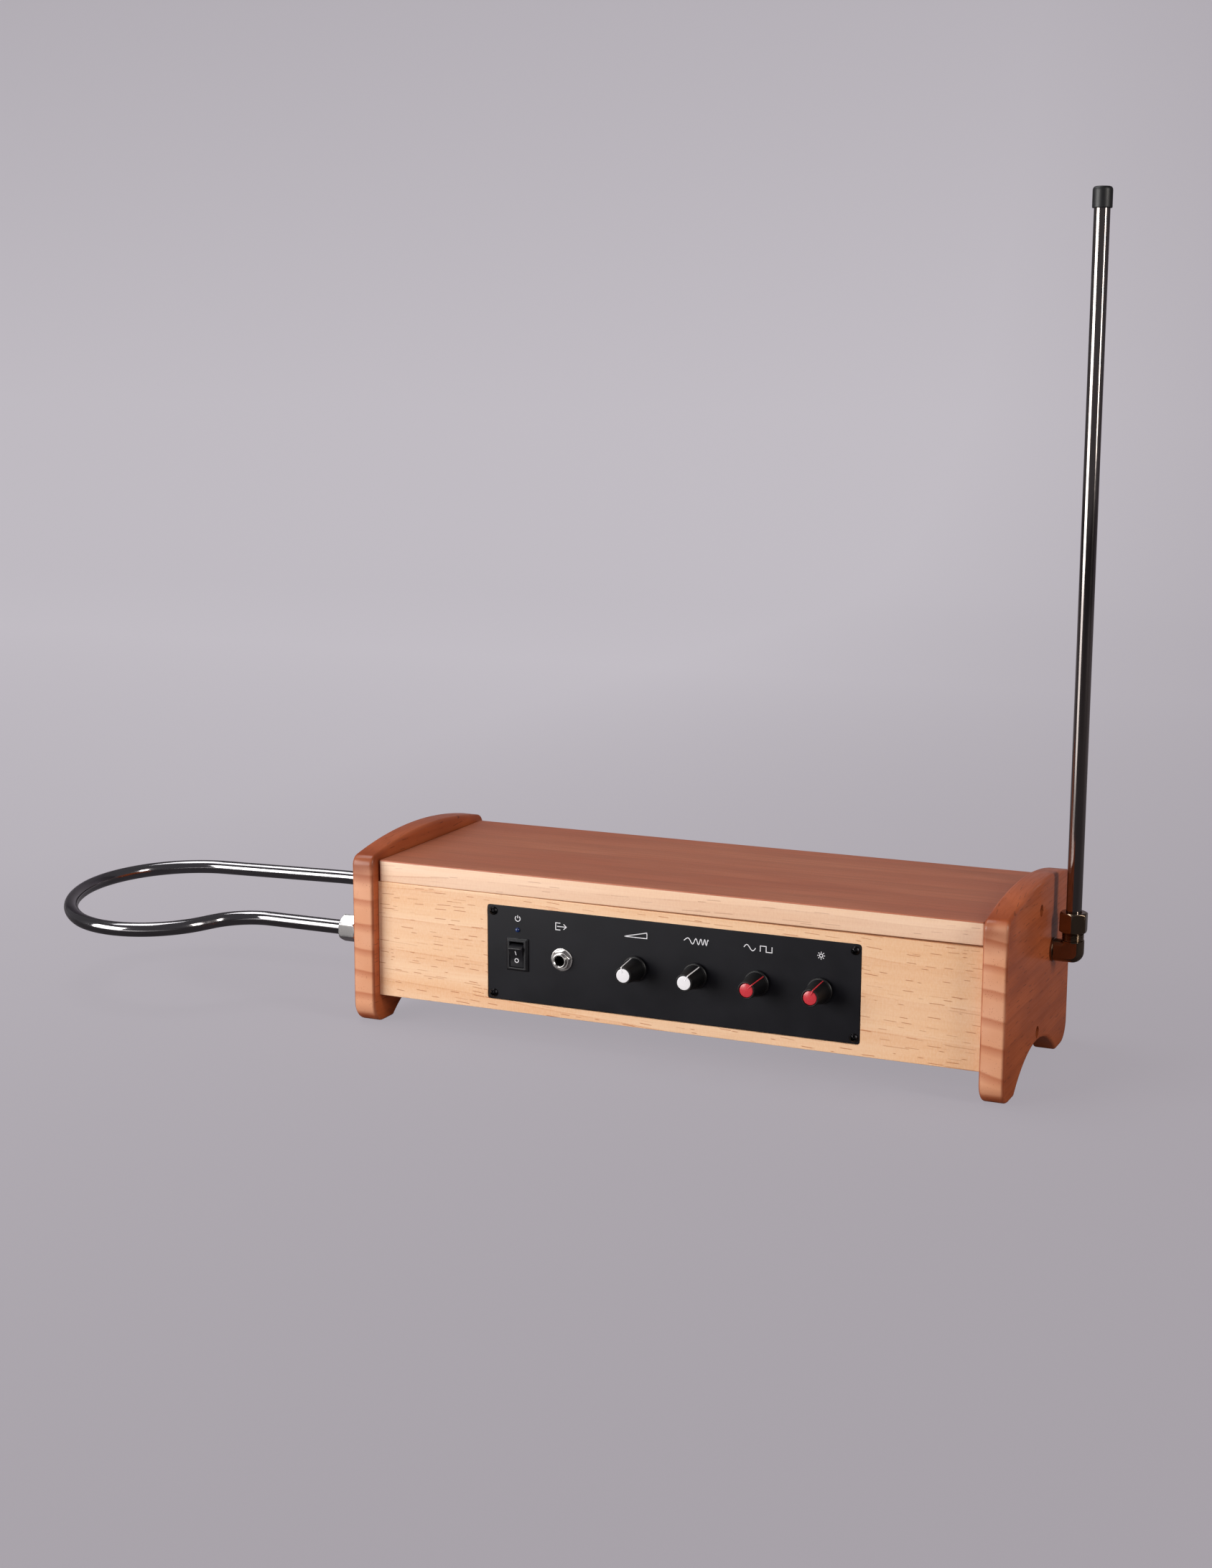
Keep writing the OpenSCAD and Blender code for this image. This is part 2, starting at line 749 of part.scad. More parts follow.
module jack_nut() {
    color(chrome) in_box() jack_place() translate([0, 0, jack_washer_t]) rotate([0, 0, 14]) {
        intersection() {
            hex_ring(jack_nut_af, jack_nut_t, jack_d);
            cylinder(d1 = jack_nut_af + 4.4, d2 = jack_nut_af - 0.4, h = 4.8);
        }
    }
}

module jack_washer() {
    color(chrome) in_box() jack_place() difference() {
        cylinder(d = jack_washer_d, h = jack_washer_t);
        translate([0, 0, -cut]) drill(jack_d, jack_washer_t + 2 * cut);
    }
}

// ---- Knobs and potentiometers ----

bushing_out = 5;
pot_nut_t = 2;
pot_nut_af = 10;
shaft_out = knob_h - 4.5;
nut_room_d = pot_nut_af / cos(30) + 0.6;
knob_hollow = bushing_out + 0.6;
skirt_t = 1.6;
cap_floor = 1.9;
cap_groove = 0.3;

module pot_bodies() {
    color(chrome) in_box() for (i = [0:3]) knob_place(i) difference() {
        union() {
            translate([0, 0, -panel_t]) cylinder(d = bushing_d, h = panel_t + bushing_out);
            translate([0, 0, -panel_t - can_h]) cylinder(d = can_d, h = can_h);
            for (x = [-5, 0, 5]) {
                translate([x - 0.6, -can_d / 2 - 3, -panel_t - can_h / 2]) cube([1.2, 6, 0.6]);
            }
        }
        translate([0, 0, -panel_t - can_h + 1.5]) {
            drill(shaft_d + 2 * run_fit, panel_t + can_h + bushing_out);
        }
    }
}

module pot_nuts() {
    color(chrome) in_box() for (i = [0:3]) {
        knob_place(i) hex_ring(pot_nut_af, pot_nut_t, bushing_d);
    }
}

module pot_shaft(i) {
    color(chrome) in_box() knob_place(i) {
        bottom = -panel_t - can_h + 1.8;
        translate([0, 0, bottom]) cylinder(d = shaft_d, h = shaft_out - bottom);
    }
}

// Side of the coloured pointer, in a plane through the knob's axis; grow makes its slot
module pointer_profile(grow) {
    foot_z = knob_clear + skirt_t;
    top_r = knob_top_d / 2;
    foot_r2 = knob_foot_d / 2;
    polygon([
        [cap_d / 2 - 2.2, knob_h - cap_floor],
        [top_r - 1.1, knob_h - cap_floor], [foot_r2 - 0.9, foot_z],
        [foot_r2 + 0.15 + grow, foot_z], [top_r + 0.2 + grow, knob_h - 0.3],
        [top_r - 0.2 + grow, knob_h + 0.2 + grow], [cap_d / 2 - 2.2, knob_h + 0.3 + grow]]);
}

module pointer(i, grow) {
    rotate([0, 0, 90 - pointer_turn[i]]) rotate([90, 0, 0]) {
        translate([0, 0, -pointer_w / 2]) linear_extrude(pointer_w) pointer_profile(grow);
    }
}

module knob(i) {
    color(black_plastic) in_box() knob_place(i) difference() {
        union() {
            translate([0, 0, knob_clear]) cylinder(d = skirt_d, h = skirt_t * 0.6);
            translate([0, 0, knob_clear + skirt_t * 0.6]) {
                cylinder(d1 = skirt_d, d2 = skirt_d - 1, h = skirt_t * 0.4);
            }
            translate([0, 0, knob_clear + skirt_t]) {
                cylinder(d1 = knob_foot_d, d2 = knob_top_d, h = knob_h - knob_clear - skirt_t);
            }
        }
        translate([0, 0, knob_clear - cut]) drill(nut_room_d, knob_hollow - knob_clear + cut);
        drill(shaft_d, shaft_out);
        translate([0, 0, knob_h - cap_floor]) drill(cap_d + 2 * cap_groove, cap_floor + cut);
        pointer(i, cut);
    }
}

module knob_cap(i) {
    color(i < 2 ? "#EFEEF2" : "#C8323A") in_box() knob_place(i) union() {
        translate([0, 0, knob_h - cap_floor]) cylinder(d = cap_d, h = cap_floor - 0.2);
        translate([0, 0, knob_h - 0.2]) cylinder(d1 = cap_d, d2 = cap_d - 1.2, h = 0.4);
        pointer(i, 0);
    }
}

module volume_shaft() pot_shaft(0);
module pitch_shaft() pot_shaft(1);
module waveform_shaft() pot_shaft(2);
module brightness_shaft() pot_shaft(3);
module volume_knob() knob(0);
module pitch_knob() knob(1);
module waveform_knob() knob(2);
module brightness_knob() knob(3);
module volume_cap() knob_cap(0);
module pitch_cap() knob_cap(1);
module waveform_cap() knob_cap(2);
module brightness_cap() knob_cap(3);

// ---- Electronics ----

can_w = 10;
can_tall = 13;
can_row = 52;
choke_d = 10;
choke_len = 16.5;
choke_cheek_t = 1.5;
choke_side = 18;
choke_step = 13;
choke_row = 22;

module standoff_places() {
    for (x = [board_inset, board_w - board_inset]) {
        for (y = [board_inset, board_d - board_inset]) {
            translate([board_x + x, board_y + y, 0]) children();
        }
    }
}

// A place on the main board: x and y from its front left corner
module on_board(x, y) {
    translate([board_x + x, board_y + y, board_top]) children();
}

module control_board() {
    color(green_board) in_box() {
        translate([control_x0, control_y, row_z - control_h / 2]) {
            cube([control_x1 - control_x0, board_t, control_h]);
        }
        translate([ribbon_x - ribbon_w / 2 - 2, control_y + board_t - 0.2, row_z - 6]) {
            cube([ribbon_w + 4, 5.2, 6]);
        }
        for (i = [0:3]) {
            translate([knob_x[i] - 4, panel_back + can_h, row_z - 4]) {
                cube([8, control_y - panel_back - can_h + 0.2, 8]);
            }
        }
    }
}

module ribbon_cable() {
    y0 = control_y + board_t + 5;
    y1 = header_y + 4;
    z0 = row_z - 3;
    z1 = board_top + header_h;
    color("#8A8C90") in_box() translate([ribbon_x - ribbon_w / 2, 0, 0]) {
        rotate([90, 0, 90]) linear_extrude(ribbon_w) polygon([
            [y0, z0], [y1 + ribbon_t, z0], [y1 + ribbon_t, z1], [y1, z1],
            [y1, z0 - ribbon_t], [y0, z0 - ribbon_t]]);
    }
}

module main_board() {
    color(green_board) in_box() difference() {
        translate([board_x, board_y, board_z]) cube([board_w, board_d, board_t]);
        standoff_places() translate([0, 0, board_z - cut]) drill(3.2, board_t + 2 * cut);
    }
}

module standoffs() {
    color(chrome) in_box() standoff_places() difference() {
        union() {
            translate([0, 0, floor_t]) {
                cylinder(d = standoff_d / cos(30), h = standoff_h, $fn = 6);
            }
            translate([0, 0, floor_t - stud_len]) cylinder(d = stud_d, h = stud_len + cut);
        }
        translate([0, 0, board_z - 4.5]) drill(2.5, 4.5 + cut);
    }
}

module board_screws() {
    color(chrome) in_box() standoff_places() {
        translate([0, 0, board_top]) pan_screw(2.5, 4 + board_t, 5);
    }
}

module oscillator_cans() {
    can_side = 48;
    can_step = 20;
    far = board_w - can_side;
    color(chrome) in_box() for (x = [can_side, can_side + can_step, far - can_step, far]) {
        on_board(x, can_row) {
            translate([-can_w / 2, -can_w / 2, 0]) cube([can_w, can_w, can_tall]);
            translate([0, 0, can_tall - 1]) cylinder(d = 4.5, h = 1.6);
        }
    }
}

// A wound choke lying on the board along Y: a bobbin with two cheeks and its winding
module choke() {
    rotate([-90, 0, 0]) translate([0, -choke_d / 2, 0]) {
        for (y = [0, choke_len - choke_cheek_t]) {
            translate([0, 0, y]) cylinder(d = choke_d, h = choke_cheek_t);
        }
        translate([0, 0, 0.5]) cylinder(d = choke_d - 2, h = choke_len - 1);
    }
}

module antenna_chokes() {
    color("#8C5A2B") in_box() {
        for (i = [0:3]) {
            on_board(board_w - choke_side - choke_step * i, choke_row) choke();
        }
        for (i = [0:2]) {
            on_board(choke_side + choke_step * i, choke_row) choke();
        }
    }
}

module chips() {
    color(black_plastic) in_box() for (x = [76, 104]) {
        on_board(x, 34) {
            translate([-3.2, -9.6, 0.6]) cube([6.4, 19.2, 3.4]);
            for (k = [-3:3]) {
                translate([-4, k * 2.54 - 0.25, 0]) cube([8, 0.5, 1.2]);
            }
        }
    }
}

module capacitors() {
    color("#1B2A4A") in_box() for (x = [60, 72, 84, 96]) {
        on_board(x, 70) cylinder(d = 8, h = 12);
    }
}

module regulator() {
    color(black_metal) in_box() {
        on_board(116, 70) {
            translate([-5, -2.2, 3]) cube([10, 4.4, 15]);
            for (x = [-2.54, 0, 2.54]) {
                translate([x - 0.4, -0.4, 0]) cube([0.8, 0.8, 4]);
            }
            translate([-9, 2.2, 0]) cube([18, 1.5, 20]);
            for (x = [-9, -4.9, -0.75, 3.4, 7.5]) {
                translate([x, 3.4, 0]) cube([1.5, 6, 20]);
            }
        }
    }
}

// Screw terminals for the leads and the header of the ribbon cable
pitch_terminal = [board_w - 8, elbow_y - board_y];
volume_terminal = [8, 16];
output_terminal = [jack_cx - board_x, 8];
power_terminal = [14, 62];

module terminals() {
    color("#2E6B8A") in_box() {
        for (p = [pitch_terminal, volume_terminal, output_terminal, power_terminal]) {
            on_board(p[0] - 4, p[1] - 4) cube([8, 8, header_h]);
        }
        translate([ribbon_x - ribbon_w / 2 - 2, header_y, board_top]) {
            cube([ribbon_w + 4, 9, header_h]);
        }
    }
}

// Power inlet in the back wall, with local Z out of the wall's back face
dc_x = 62;
dc_thread_d = 11;
dc_flange_t = 2;
dc_nut_t = 2.5;
dc_body_len = 10;
dc_r = 2.9;

module dc_place() {
    translate([dc_x, cab_d - wall_t, row_z]) rotate([-90, 0, 0]) children();
}

module dc_inlet() {
    color(black_plastic) in_box() dc_place() {
        difference() {
            union() {
                translate([0, 0, -dc_body_len]) cylinder(d = dc_thread_d, h = dc_body_len + wall_t);
                translate([0, 0, wall_t]) cylinder(d = dc_thread_d + 4, h = dc_flange_t);
            }
            translate([0, 0, wall_t + dc_flange_t - 11]) drill(2 * dc_r, 11 + cut);
        }
        translate([0, 0, wall_t + dc_flange_t - 11.5]) cylinder(d = 2.1, h = 9.5);
    }
}

module dc_nut() {
    color(chrome) in_box() dc_place() {
        translate([0, 0, -dc_nut_t]) hex_ring(dc_thread_d + 3, dc_nut_t, dc_thread_d);
    }
}

// A lead along the given points. Its stretches run along the axes and meet in quarter bends,
// whose wall is a hair thicker, so that the end of each straight lies inside it.
lead_bend_r = 2.5;
lead_d = 1.6;
lead_rise = 6.5;
overlap = 0.3;
hair = 0.02;

module lead(points) {
    last = len(points) - 1;
    for (i = [0:last - 1]) {
        step = points[i + 1] - points[i];
        u = step / norm(step);
        from = i > 0 ? lead_bend_r - overlap / 3 : 0;
        to = norm(step) - (i + 1 < last ? lead_bend_r - overlap / 3 : 0);
        translate(points[i] + from * u) rotate([0, acos(u[2]), atan2(u[1], u[0])]) {
            cylinder(d = lead_d, h = to - from, $fn = 16);
        }
        if (i + 1 < last) {
            next = points[i + 2] - points[i + 1];
            v = next / norm(next);
            w = cross(u, v);
            c = points[i + 1] + lead_bend_r * (v - u);
            multmatrix([
                [-v[0], u[0], w[0], c[0]], [-v[1], u[1], w[1], c[1]], [-v[2], u[2], w[2], c[2]],
                [0, 0, 0, 1]]) {
                rotate_extrude(angle = 90, $fn = 32) translate([lead_bend_r, 0]) {
                    circle(d = lead_d + 2 * hair, $fn = 16);
                }
            }
        }
    }
}

function board_point(p, up) = [board_x + p[0], board_y + p[1], board_top + up];

module pitch_lead() {
    tail = [cab_w - tail_len, elbow_y, elbow_z];
    end = board_point(pitch_terminal, header_h);
    color("#B8382E") in_box() lead([tail, [end[0], end[1], tail[2]], end]);
}

module volume_lead() {
    tail = [tail_len, leg_y(-1), leg_z(-1)];
    end = board_point(volume_terminal, header_h);
    turn_x = tail[0] + 16;
    high = tail[2] + lead_rise;
    color("#B8382E") in_box() {
        lead([tail, [turn_x, tail[1], tail[2]], [turn_x, tail[1], high], [turn_x, end[1], high],
            [end[0], end[1], high], end]);
    }
}

module panel_leads() {
    jack_end = [jack_cx, panel_back + jack_body_depth, row_z - 3];
    switch_end = [switch_cx, face_y + housing_depth + 7, row_z];
    lamp_end = [switch_cx + 0.8, panel_back + 7, row_z + lamp_rise];
    inlet = [dc_x, cab_d - wall_t - dc_body_len, row_z];
    jack_in = board_point(output_terminal, header_h);
    lamp_in = jack_in + [2.5, -2, 0];
    switch_in = board_point(power_terminal, header_h) - [2, 2, 0];
    inlet_in = switch_in + [3, 4, 0];
    color("#2C2C30") in_box() {
        lead([jack_end, [jack_end[0], jack_in[1], jack_end[2]], jack_in]);
        lead([switch_end, [switch_end[0], switch_in[1], row_z],
            [switch_in[0], switch_in[1], row_z], switch_in]);
        lead([inlet, [inlet[0], inlet_in[1], row_z], [inlet_in[0], inlet_in[1], row_z], inlet_in]);
        lead([lamp_end, [lamp_end[0], lamp_in[1], lamp_end[2]],
            [lamp_in[0], lamp_in[1], lamp_end[2]], lamp_in]);
    }
}

// ---- Tube fittings ----

// The threaded mouth of a fitting: z = 0 is the shoulder that the thread stands on
module thread_mouth() {
    difference() {
        cylinder(d = thread_d, h = thread_len);
        translate([0, 0, thread_len - 0.8]) cylinder(r1 = tube_r, r2 = tube_r + 0.8, h = 0.9);
    }
}

// Stub through the cheek and solder tail: z = 0 is the cheek's outer face
module stub() {
    translate([0, 0, fitting_z - 1]) cylinder(d = stub_d, h = -fitting_z + 1 + cut);
    translate([0, 0, -cheek_t - tail_len]) cylinder(d = tail_d, h = cheek_t + tail_len + fitting_z);
}

// Compression nut: z = 0 is its open end
module compression_nut() {
    edge = 1.1;
    roof = nut_len - ferrule_rise - ferrule_len - 0.1;
    difference() {
        intersection() {
            cylinder(r = nut_r, h = nut_len, $fn = 6);
            union() {
                cylinder(r1 = nut_af / 2 - 0.4, r2 = nut_r + 0.05, h = edge);
                translate([0, 0, edge]) cylinder(r = nut_r + 0.05, h = nut_len - 2 * edge);
                translate([0, 0, nut_len - edge]) {
                    cylinder(r1 = nut_r + 0.05, r2 = nut_af / 2 - 0.4, h = edge);
                }
            }
        }
        translate([0, 0, -cut]) drill(thread_d + 2 * run_fit, nut_len - roof + cut);
        translate([0, 0, -cut]) drill(tube_d + 2 * tube_fit, nut_len + 2 * cut);
    }
}

// Ferrule: a ring on the tube, tapered at both ends; z = 0 is its lower end
module ferrule() {
    taper = 1.1;
    edge_r = tube_r + 0.5;
    rotate_extrude() polygon([
        [tube_r, 0], [edge_r, 0], [ferrule_r, taper], [ferrule_r, ferrule_len - taper],
        [edge_r, ferrule_len], [tube_r, ferrule_len]]);
}

// Places of the pitch fitting (Z up, at the elbow's corner) and of the loop's two fittings
// (Z out of the left cheek's face)
module pitch_place() {
    translate([elbow_x, elbow_y, elbow_z]) children();
}

module loop_place(side) {
    translate([-cheek_t, leg_y(side), leg_z(side)]) facing_left() children();
}

module pitch_elbow() {
    color(nickel) in_box() {
        difference() {
            union() {
                pitch_place() {
                    translate([0, 0, elbow_top - cut]) cylinder(d = thread_d, h = cut);
                    translate([0, 0, elbow_top]) thread_mouth();
                    intersection() {
                        union() {
                            cylinder(r = elbow_r, h = elbow_top);
                            sphere(elbow_r);
                            translate([-elbow_out + 1, 0, 0]) facing_right() {
                                cylinder(r = elbow_r, h = elbow_out - 1);
                            }
                        }
                        translate([-2 * elbow_out, -elbow_flat / 2, -elbow_r - cut]) {
                            cube([4 * elbow_out, elbow_flat, 2 * elbow_r + 2 * cut]);
                        }
                    }
                }
                translate([cab_w + cheek_t, elbow_y, elbow_z]) facing_right() {
                    cylinder(r = elbow_r + 0.4, h = 1.6);
                    stub();
                }
            }
            pitch_place() translate([0, 0, pitch_seat]) {
                drill(tube_d + 2 * tube_fit, thread_len + seat_depth + cut);
            }
        }
    }
}

module pitch_nut() {
    color(nickel) in_box() pitch_place() {
        translate([0, 0, pitch_nut_z]) rotate([0, 0, nut_turn]) compression_nut();
    }
}

module pitch_ferrule() {
    color("#B98E4A") in_box() pitch_place() translate([0, 0, pitch_nut_z + ferrule_rise]) ferrule();
}

module pitch_tube() {
    top = antenna_len - 1;
    color(chrome) in_box() pitch_place() difference() {
        translate([0, 0, pitch_seat + slip]) cylinder(d = tube_d, h = top - pitch_seat - slip);
        translate([0, 0, pitch_seat]) drill(tube_d - 2 * tube_wall, top - pitch_seat + cut);
    }
}

module pitch_end_cap() {
    dome = 2.6;
    color(black_plastic) in_box() pitch_place() translate([0, 0, antenna_len - end_cap_len]) {
        difference() {
            union() {
                cylinder(d = end_cap_d, h = end_cap_len - dome);
                translate([0, 0, end_cap_len - dome]) rotate_extrude() {
                    square([end_cap_d / 2 - dome, dome]);
                    translate([end_cap_d / 2 - dome, 0]) intersection() {
                        circle(dome);
                        square(dome);
                    }
                }
            }
            translate([0, 0, -cut]) drill(tube_d, end_cap_len - 1 + cut);
        }
    }
}

module loop_fittings() {
    color(nickel) in_box() for (side = [-1, 1]) {
        loop_place(side) difference() {
            union() {
                cylinder(d = collar_af / cos(30), h = collar_t, $fn = 6);
                translate([0, 0, collar_t]) thread_mouth();
                stub();
            }
            translate([0, 0, collar_t + thread_len - seat_depth]) {
                drill(tube_d + 2 * tube_fit, seat_depth + cut);
            }
        }
    }
}

module locknuts() {
    color(nickel) in_box() {
        for (side = [-1, 1]) {
            loop_place(side) translate([0, 0, fitting_z]) hex_ring(locknut_af, locknut_t, stub_d);
        }
        translate([cab_w + cheek_t, elbow_y, elbow_z]) facing_right() {
            translate([0, 0, fitting_z]) hex_ring(locknut_af, locknut_t, stub_d);
        }
    }
}

module loop_nut(side) {
    color(chrome) in_box() loop_place(side) translate([0, 0, loop_nut_z]) compression_nut();
}

module front_loop_nut() loop_nut(-1);
module rear_loop_nut() loop_nut(1);

module loop_ferrules() {
    color("#B98E4A") in_box() for (side = [-1, 1]) {
        loop_place(side) translate([0, 0, loop_nut_z + ferrule_rise]) ferrule();
    }
}

// The loop is a chain of stretches of tube. Each overlaps its neighbours by a little, and a
// bend's wall is a hair thicker, so that a neighbour's end lies inside it.
// A straight stretch between two points of the loop's plane
module straight(p, q) {
    step = q - p;
    translate([p[0], p[1], 0]) rotate([0, 90, atan2(step[1], step[0])]) {
        translate([0, 0, -overlap]) difference() {
            cylinder(r = tube_r, h = norm(step) + 2 * overlap);
            translate([0, 0, -cut]) {
                drill(tube_d - 2 * tube_wall, norm(step) + 2 * overlap + 2 * cut);
            }
        }
    }
}

// A bend about c, from angle a0 over the angle turn; reach lengthens it at both ends
module bend(c, bend_r, a0, turn, swell, reach) {
    more = reach / bend_r * 180 / PI;
    translate([c[0], c[1], 0]) rotate([0, 0, a0 - more]) {
        rotate_extrude(angle = turn + 2 * more, $fn = 72) {
            translate([bend_r, 0]) difference() {
                circle(tube_r + swell, $fn = 24);
                circle(tube_r - tube_wall - swell, $fn = 24);
            }
        }
    }
}

module volume_loop() {
    end_x = leg_end - overlap;
    color(chrome) in_box() translate([0, mid_y, loop_z]) rotate([loop_tilt, 0, 0]) {
        straight([end_x, -loop_gap / 2], p1);
        bend(c1, neck_r, h1 - 90, neck_turn, hair, 0);
        straight(p2, p3);
        bend(c2, bow_front_r, h3 + 90, bow_front_turn, hair, 0);
        bend(c3, bow_outer_r, h4 + 90, bow_outer_turn, 2 * hair, overlap);
        bend(c4, bow_rear_r, h5 + 90, h4 - h5, hair, 0);
        straight(p6, p7);
        bend(c5, rear_bend_r, 90, h5, hair, 0);
        straight(p8, [end_x, loop_gap / 2]);
    }
}

floor_board();
front_board();
back_board();
lid();
left_cheek();
right_cheek();
cheek_screws();
stand_flange();
flange_screws();
control_panel();
panel_screws();
switch_housing();
rocker();
power_lamp();
jack_bushing();
jack_body();
jack_nut();
jack_washer();
pot_bodies();
pot_nuts();
volume_shaft();
pitch_shaft();
waveform_shaft();
brightness_shaft();
volume_knob();
pitch_knob();
waveform_knob();
brightness_knob();
volume_cap();
pitch_cap();
waveform_cap();
brightness_cap();
control_board();
ribbon_cable();
main_board();
standoffs();
board_screws();
oscillator_cans();
antenna_chokes();
chips();
capacitors();
regulator();
terminals();
dc_inlet();
dc_nut();
pitch_lead();
volume_lead();
panel_leads();
pitch_elbow();
locknuts();
pitch_nut();
pitch_ferrule();
pitch_tube();
pitch_end_cap();
loop_fittings();
front_loop_nut();
rear_loop_nut();
loop_ferrules();
volume_loop();
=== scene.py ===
"""Looks of a theremin: a wooden cabinet with a control panel, a rod antenna and a tube loop.

Each shown piece is a surface worked out with numpy in millimetres from the box's front left
lower corner. It stands for the solid of the same place and rides on that solid's body.
"""

import logging
import math
from collections.abc import Callable, Sequence
from dataclasses import dataclass
from enum import Enum

import bmesh
import bpy
import numpy as np
from mathutils import Matrix, Vector
from mathutils.geometry import delaunay_2d_cdt


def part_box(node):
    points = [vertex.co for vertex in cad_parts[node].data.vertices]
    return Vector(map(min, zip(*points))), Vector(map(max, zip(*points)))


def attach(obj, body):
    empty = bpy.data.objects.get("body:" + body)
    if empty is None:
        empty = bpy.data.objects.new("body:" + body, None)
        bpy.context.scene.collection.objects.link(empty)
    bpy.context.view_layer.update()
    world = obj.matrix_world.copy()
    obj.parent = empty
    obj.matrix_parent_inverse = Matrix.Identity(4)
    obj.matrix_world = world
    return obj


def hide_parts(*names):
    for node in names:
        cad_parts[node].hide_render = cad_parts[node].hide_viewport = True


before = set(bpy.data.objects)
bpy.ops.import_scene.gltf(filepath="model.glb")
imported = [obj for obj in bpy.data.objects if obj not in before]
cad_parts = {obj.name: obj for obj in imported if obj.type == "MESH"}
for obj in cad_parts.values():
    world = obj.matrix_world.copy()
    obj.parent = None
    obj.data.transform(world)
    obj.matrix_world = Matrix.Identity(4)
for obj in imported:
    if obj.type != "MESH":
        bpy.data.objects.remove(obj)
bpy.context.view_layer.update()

LOG = logging.getLogger("theremin")

MM = 0.001
FRONT_WALL = 12.0
# The floor board starts at the back of the front wall, at the box's left end
CORNER = np.array(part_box("floor_board")[0]) / MM - (0.0, FRONT_WALL, 0.0)

BOX_W = 400.0
BOX_D = 142.0
WALL_H = 75.5
LID_T = 14.0
CHEEK_T = 15.0
FACE_Y = 0.4
ROW_Z = WALL_H / 2
TUBE_R = 4.75
TUBE_PLAY = 0.05


# ---- Places and surfaces ----


class Facing(Enum):
    """Ways that a piece's own axes lie, each as its X, Y and Z in the box's frame."""

    UP = ((1, 0, 0), (0, 1, 0), (0, 0, 1))
    DOWN = ((1, 0, 0), (0, -1, 0), (0, 0, -1))
    FRONT = ((1, 0, 0), (0, 0, 1), (0, -1, 0))
    BACK = ((1, 0, 0), (0, 0, -1), (0, 1, 0))
    RIGHT = ((0, 0, -1), (0, 1, 0), (1, 0, 0))
    LEFT = ((0, 0, 1), (0, 1, 0), (-1, 0, 0))
    ACROSS = ((0, 1, 0), (0, 0, 1), (1, 0, 0))


@dataclass(frozen=True)
class Place:
    """Where a piece's own origin lies in the box's frame, and how it is turned.

    Attributes:
        at: Place of the own origin, in millimetres.
        facing: How the own axes lie.
        turn: Turn about the own Z axis before that, in degrees.
    """

    at: tuple[float, float, float] = (0.0, 0.0, 0.0)
    facing: Facing = Facing.UP
    turn: float = 0.0

    def put(self, points: np.ndarray) -> np.ndarray:
        """Carries points from the piece's own frame to the box's.

        Args:
            points: Points in rows, in the own frame.

        Returns:
            The points turned about Z, then along the three axes, then moved.
        """
        a = math.radians(self.turn)
        spin = np.array(
            [[math.cos(a), math.sin(a), 0], [-math.sin(a), math.cos(a), 0], [0, 0, 1]]
        )
        return np.asarray(self.at) + points @ spin @ np.array(self.facing.value, float)


def on_face(x: float, z: float = ROW_Z, back: float = 0.0, turn: float = 0.0) -> Place:
    """Place on the control panel's face, or so far behind it, whose own Z points outwards."""
    return Place((x, FACE_Y + back, z), Facing.FRONT, turn)


def grid_faces(rows: int, columns: int, ring_rows: bool = False) -> np.ndarray:
    """Quads between the neighbours of a grid whose columns close into a ring.

    Args:
        rows: Number of rows.
        columns: Number of points in a row.
        ring_rows: Whether the last row meets the first.

    Returns:
        Four indices for each quad: a point, its right neighbour, and the two above them.
    """
    i = np.arange(rows if ring_rows else rows - 1)[:, None]
    j = np.arange(columns)[None, :]
    right = (j + 1) % columns
    up = (i + 1) % rows * columns
    quads = (i * columns + j, i * columns + right, up + right, up + j)
    return np.stack(np.broadcast_arrays(*quads), -1).reshape(-1, 4)


def rounded(
    corners: Sequence[Sequence[float]],
    radii: float | Sequence[float],
    steps: int = 5,
    closed: bool = False,
) -> np.ndarray:
    """Eases the corners of a path by quarter bends.

    A bend about the corner P runs from A to B, the points where a circle of the radius
    touches the two sides, as (1 - s)^2 A + 2 s (1 - s) P + s^2 B for s from 0 to 1.

    Args:
        corners: The path's corners, in two or three coordinates.
        radii: Radius of each bend, or one for all; 0 keeps a corner sharp.
        steps: Number of pieces of each bend.
        closed: Whether the last corner meets the first.

    Returns:
        The points of the eased path.
    """
    p = np.asarray(corners, float)
    r = np.broadcast_to(np.asarray(radii, float), len(p)).copy()
    if not closed:
        r[[0, -1]] = 0.0
    back, on = np.roll(p, 1, 0) - p, np.roll(p, -1, 0) - p
    back_len = np.maximum(np.linalg.norm(back, axis=1, keepdims=True), 1e-9)
    on_len = np.maximum(np.linalg.norm(on, axis=1, keepdims=True), 1e-9)
    back, on = back / back_len, on / on_len
    half = 0.5 * np.arccos(np.clip((back * on).sum(1, keepdims=True), -1, 1))
    reach = r[:, None] / np.maximum(np.tan(half), 1e-6)
    reach = np.minimum(reach, 0.49 * np.minimum(back_len, on_len))
    a, b = (p + back * reach)[:, None], (p + on * reach)[:, None]
    s = np.linspace(0, 1, steps + 1)[None, :, None]
    return ((1 - s) ** 2 * a + 2 * s * (1 - s) * p[:, None] + s**2 * b).reshape(-1, p.shape[1])


def circle(radius: float, count: int = 64) -> np.ndarray:
    """Points of a circle about the origin, counter-clockwise."""
    a = np.linspace(0, 2 * np.pi, count, endpoint=False)
    return radius * np.stack([np.cos(a), np.sin(a)], -1)


def rectangle(width: float, height: float, radius: float, steps: int = 5) -> np.ndarray:
    """Points of a rectangle about the origin with eased corners, counter-clockwise."""
    w, h = width / 2, height / 2
    return rounded([(-w, -h), (w, -h), (w, h), (-w, h)], radius, steps, closed=True)


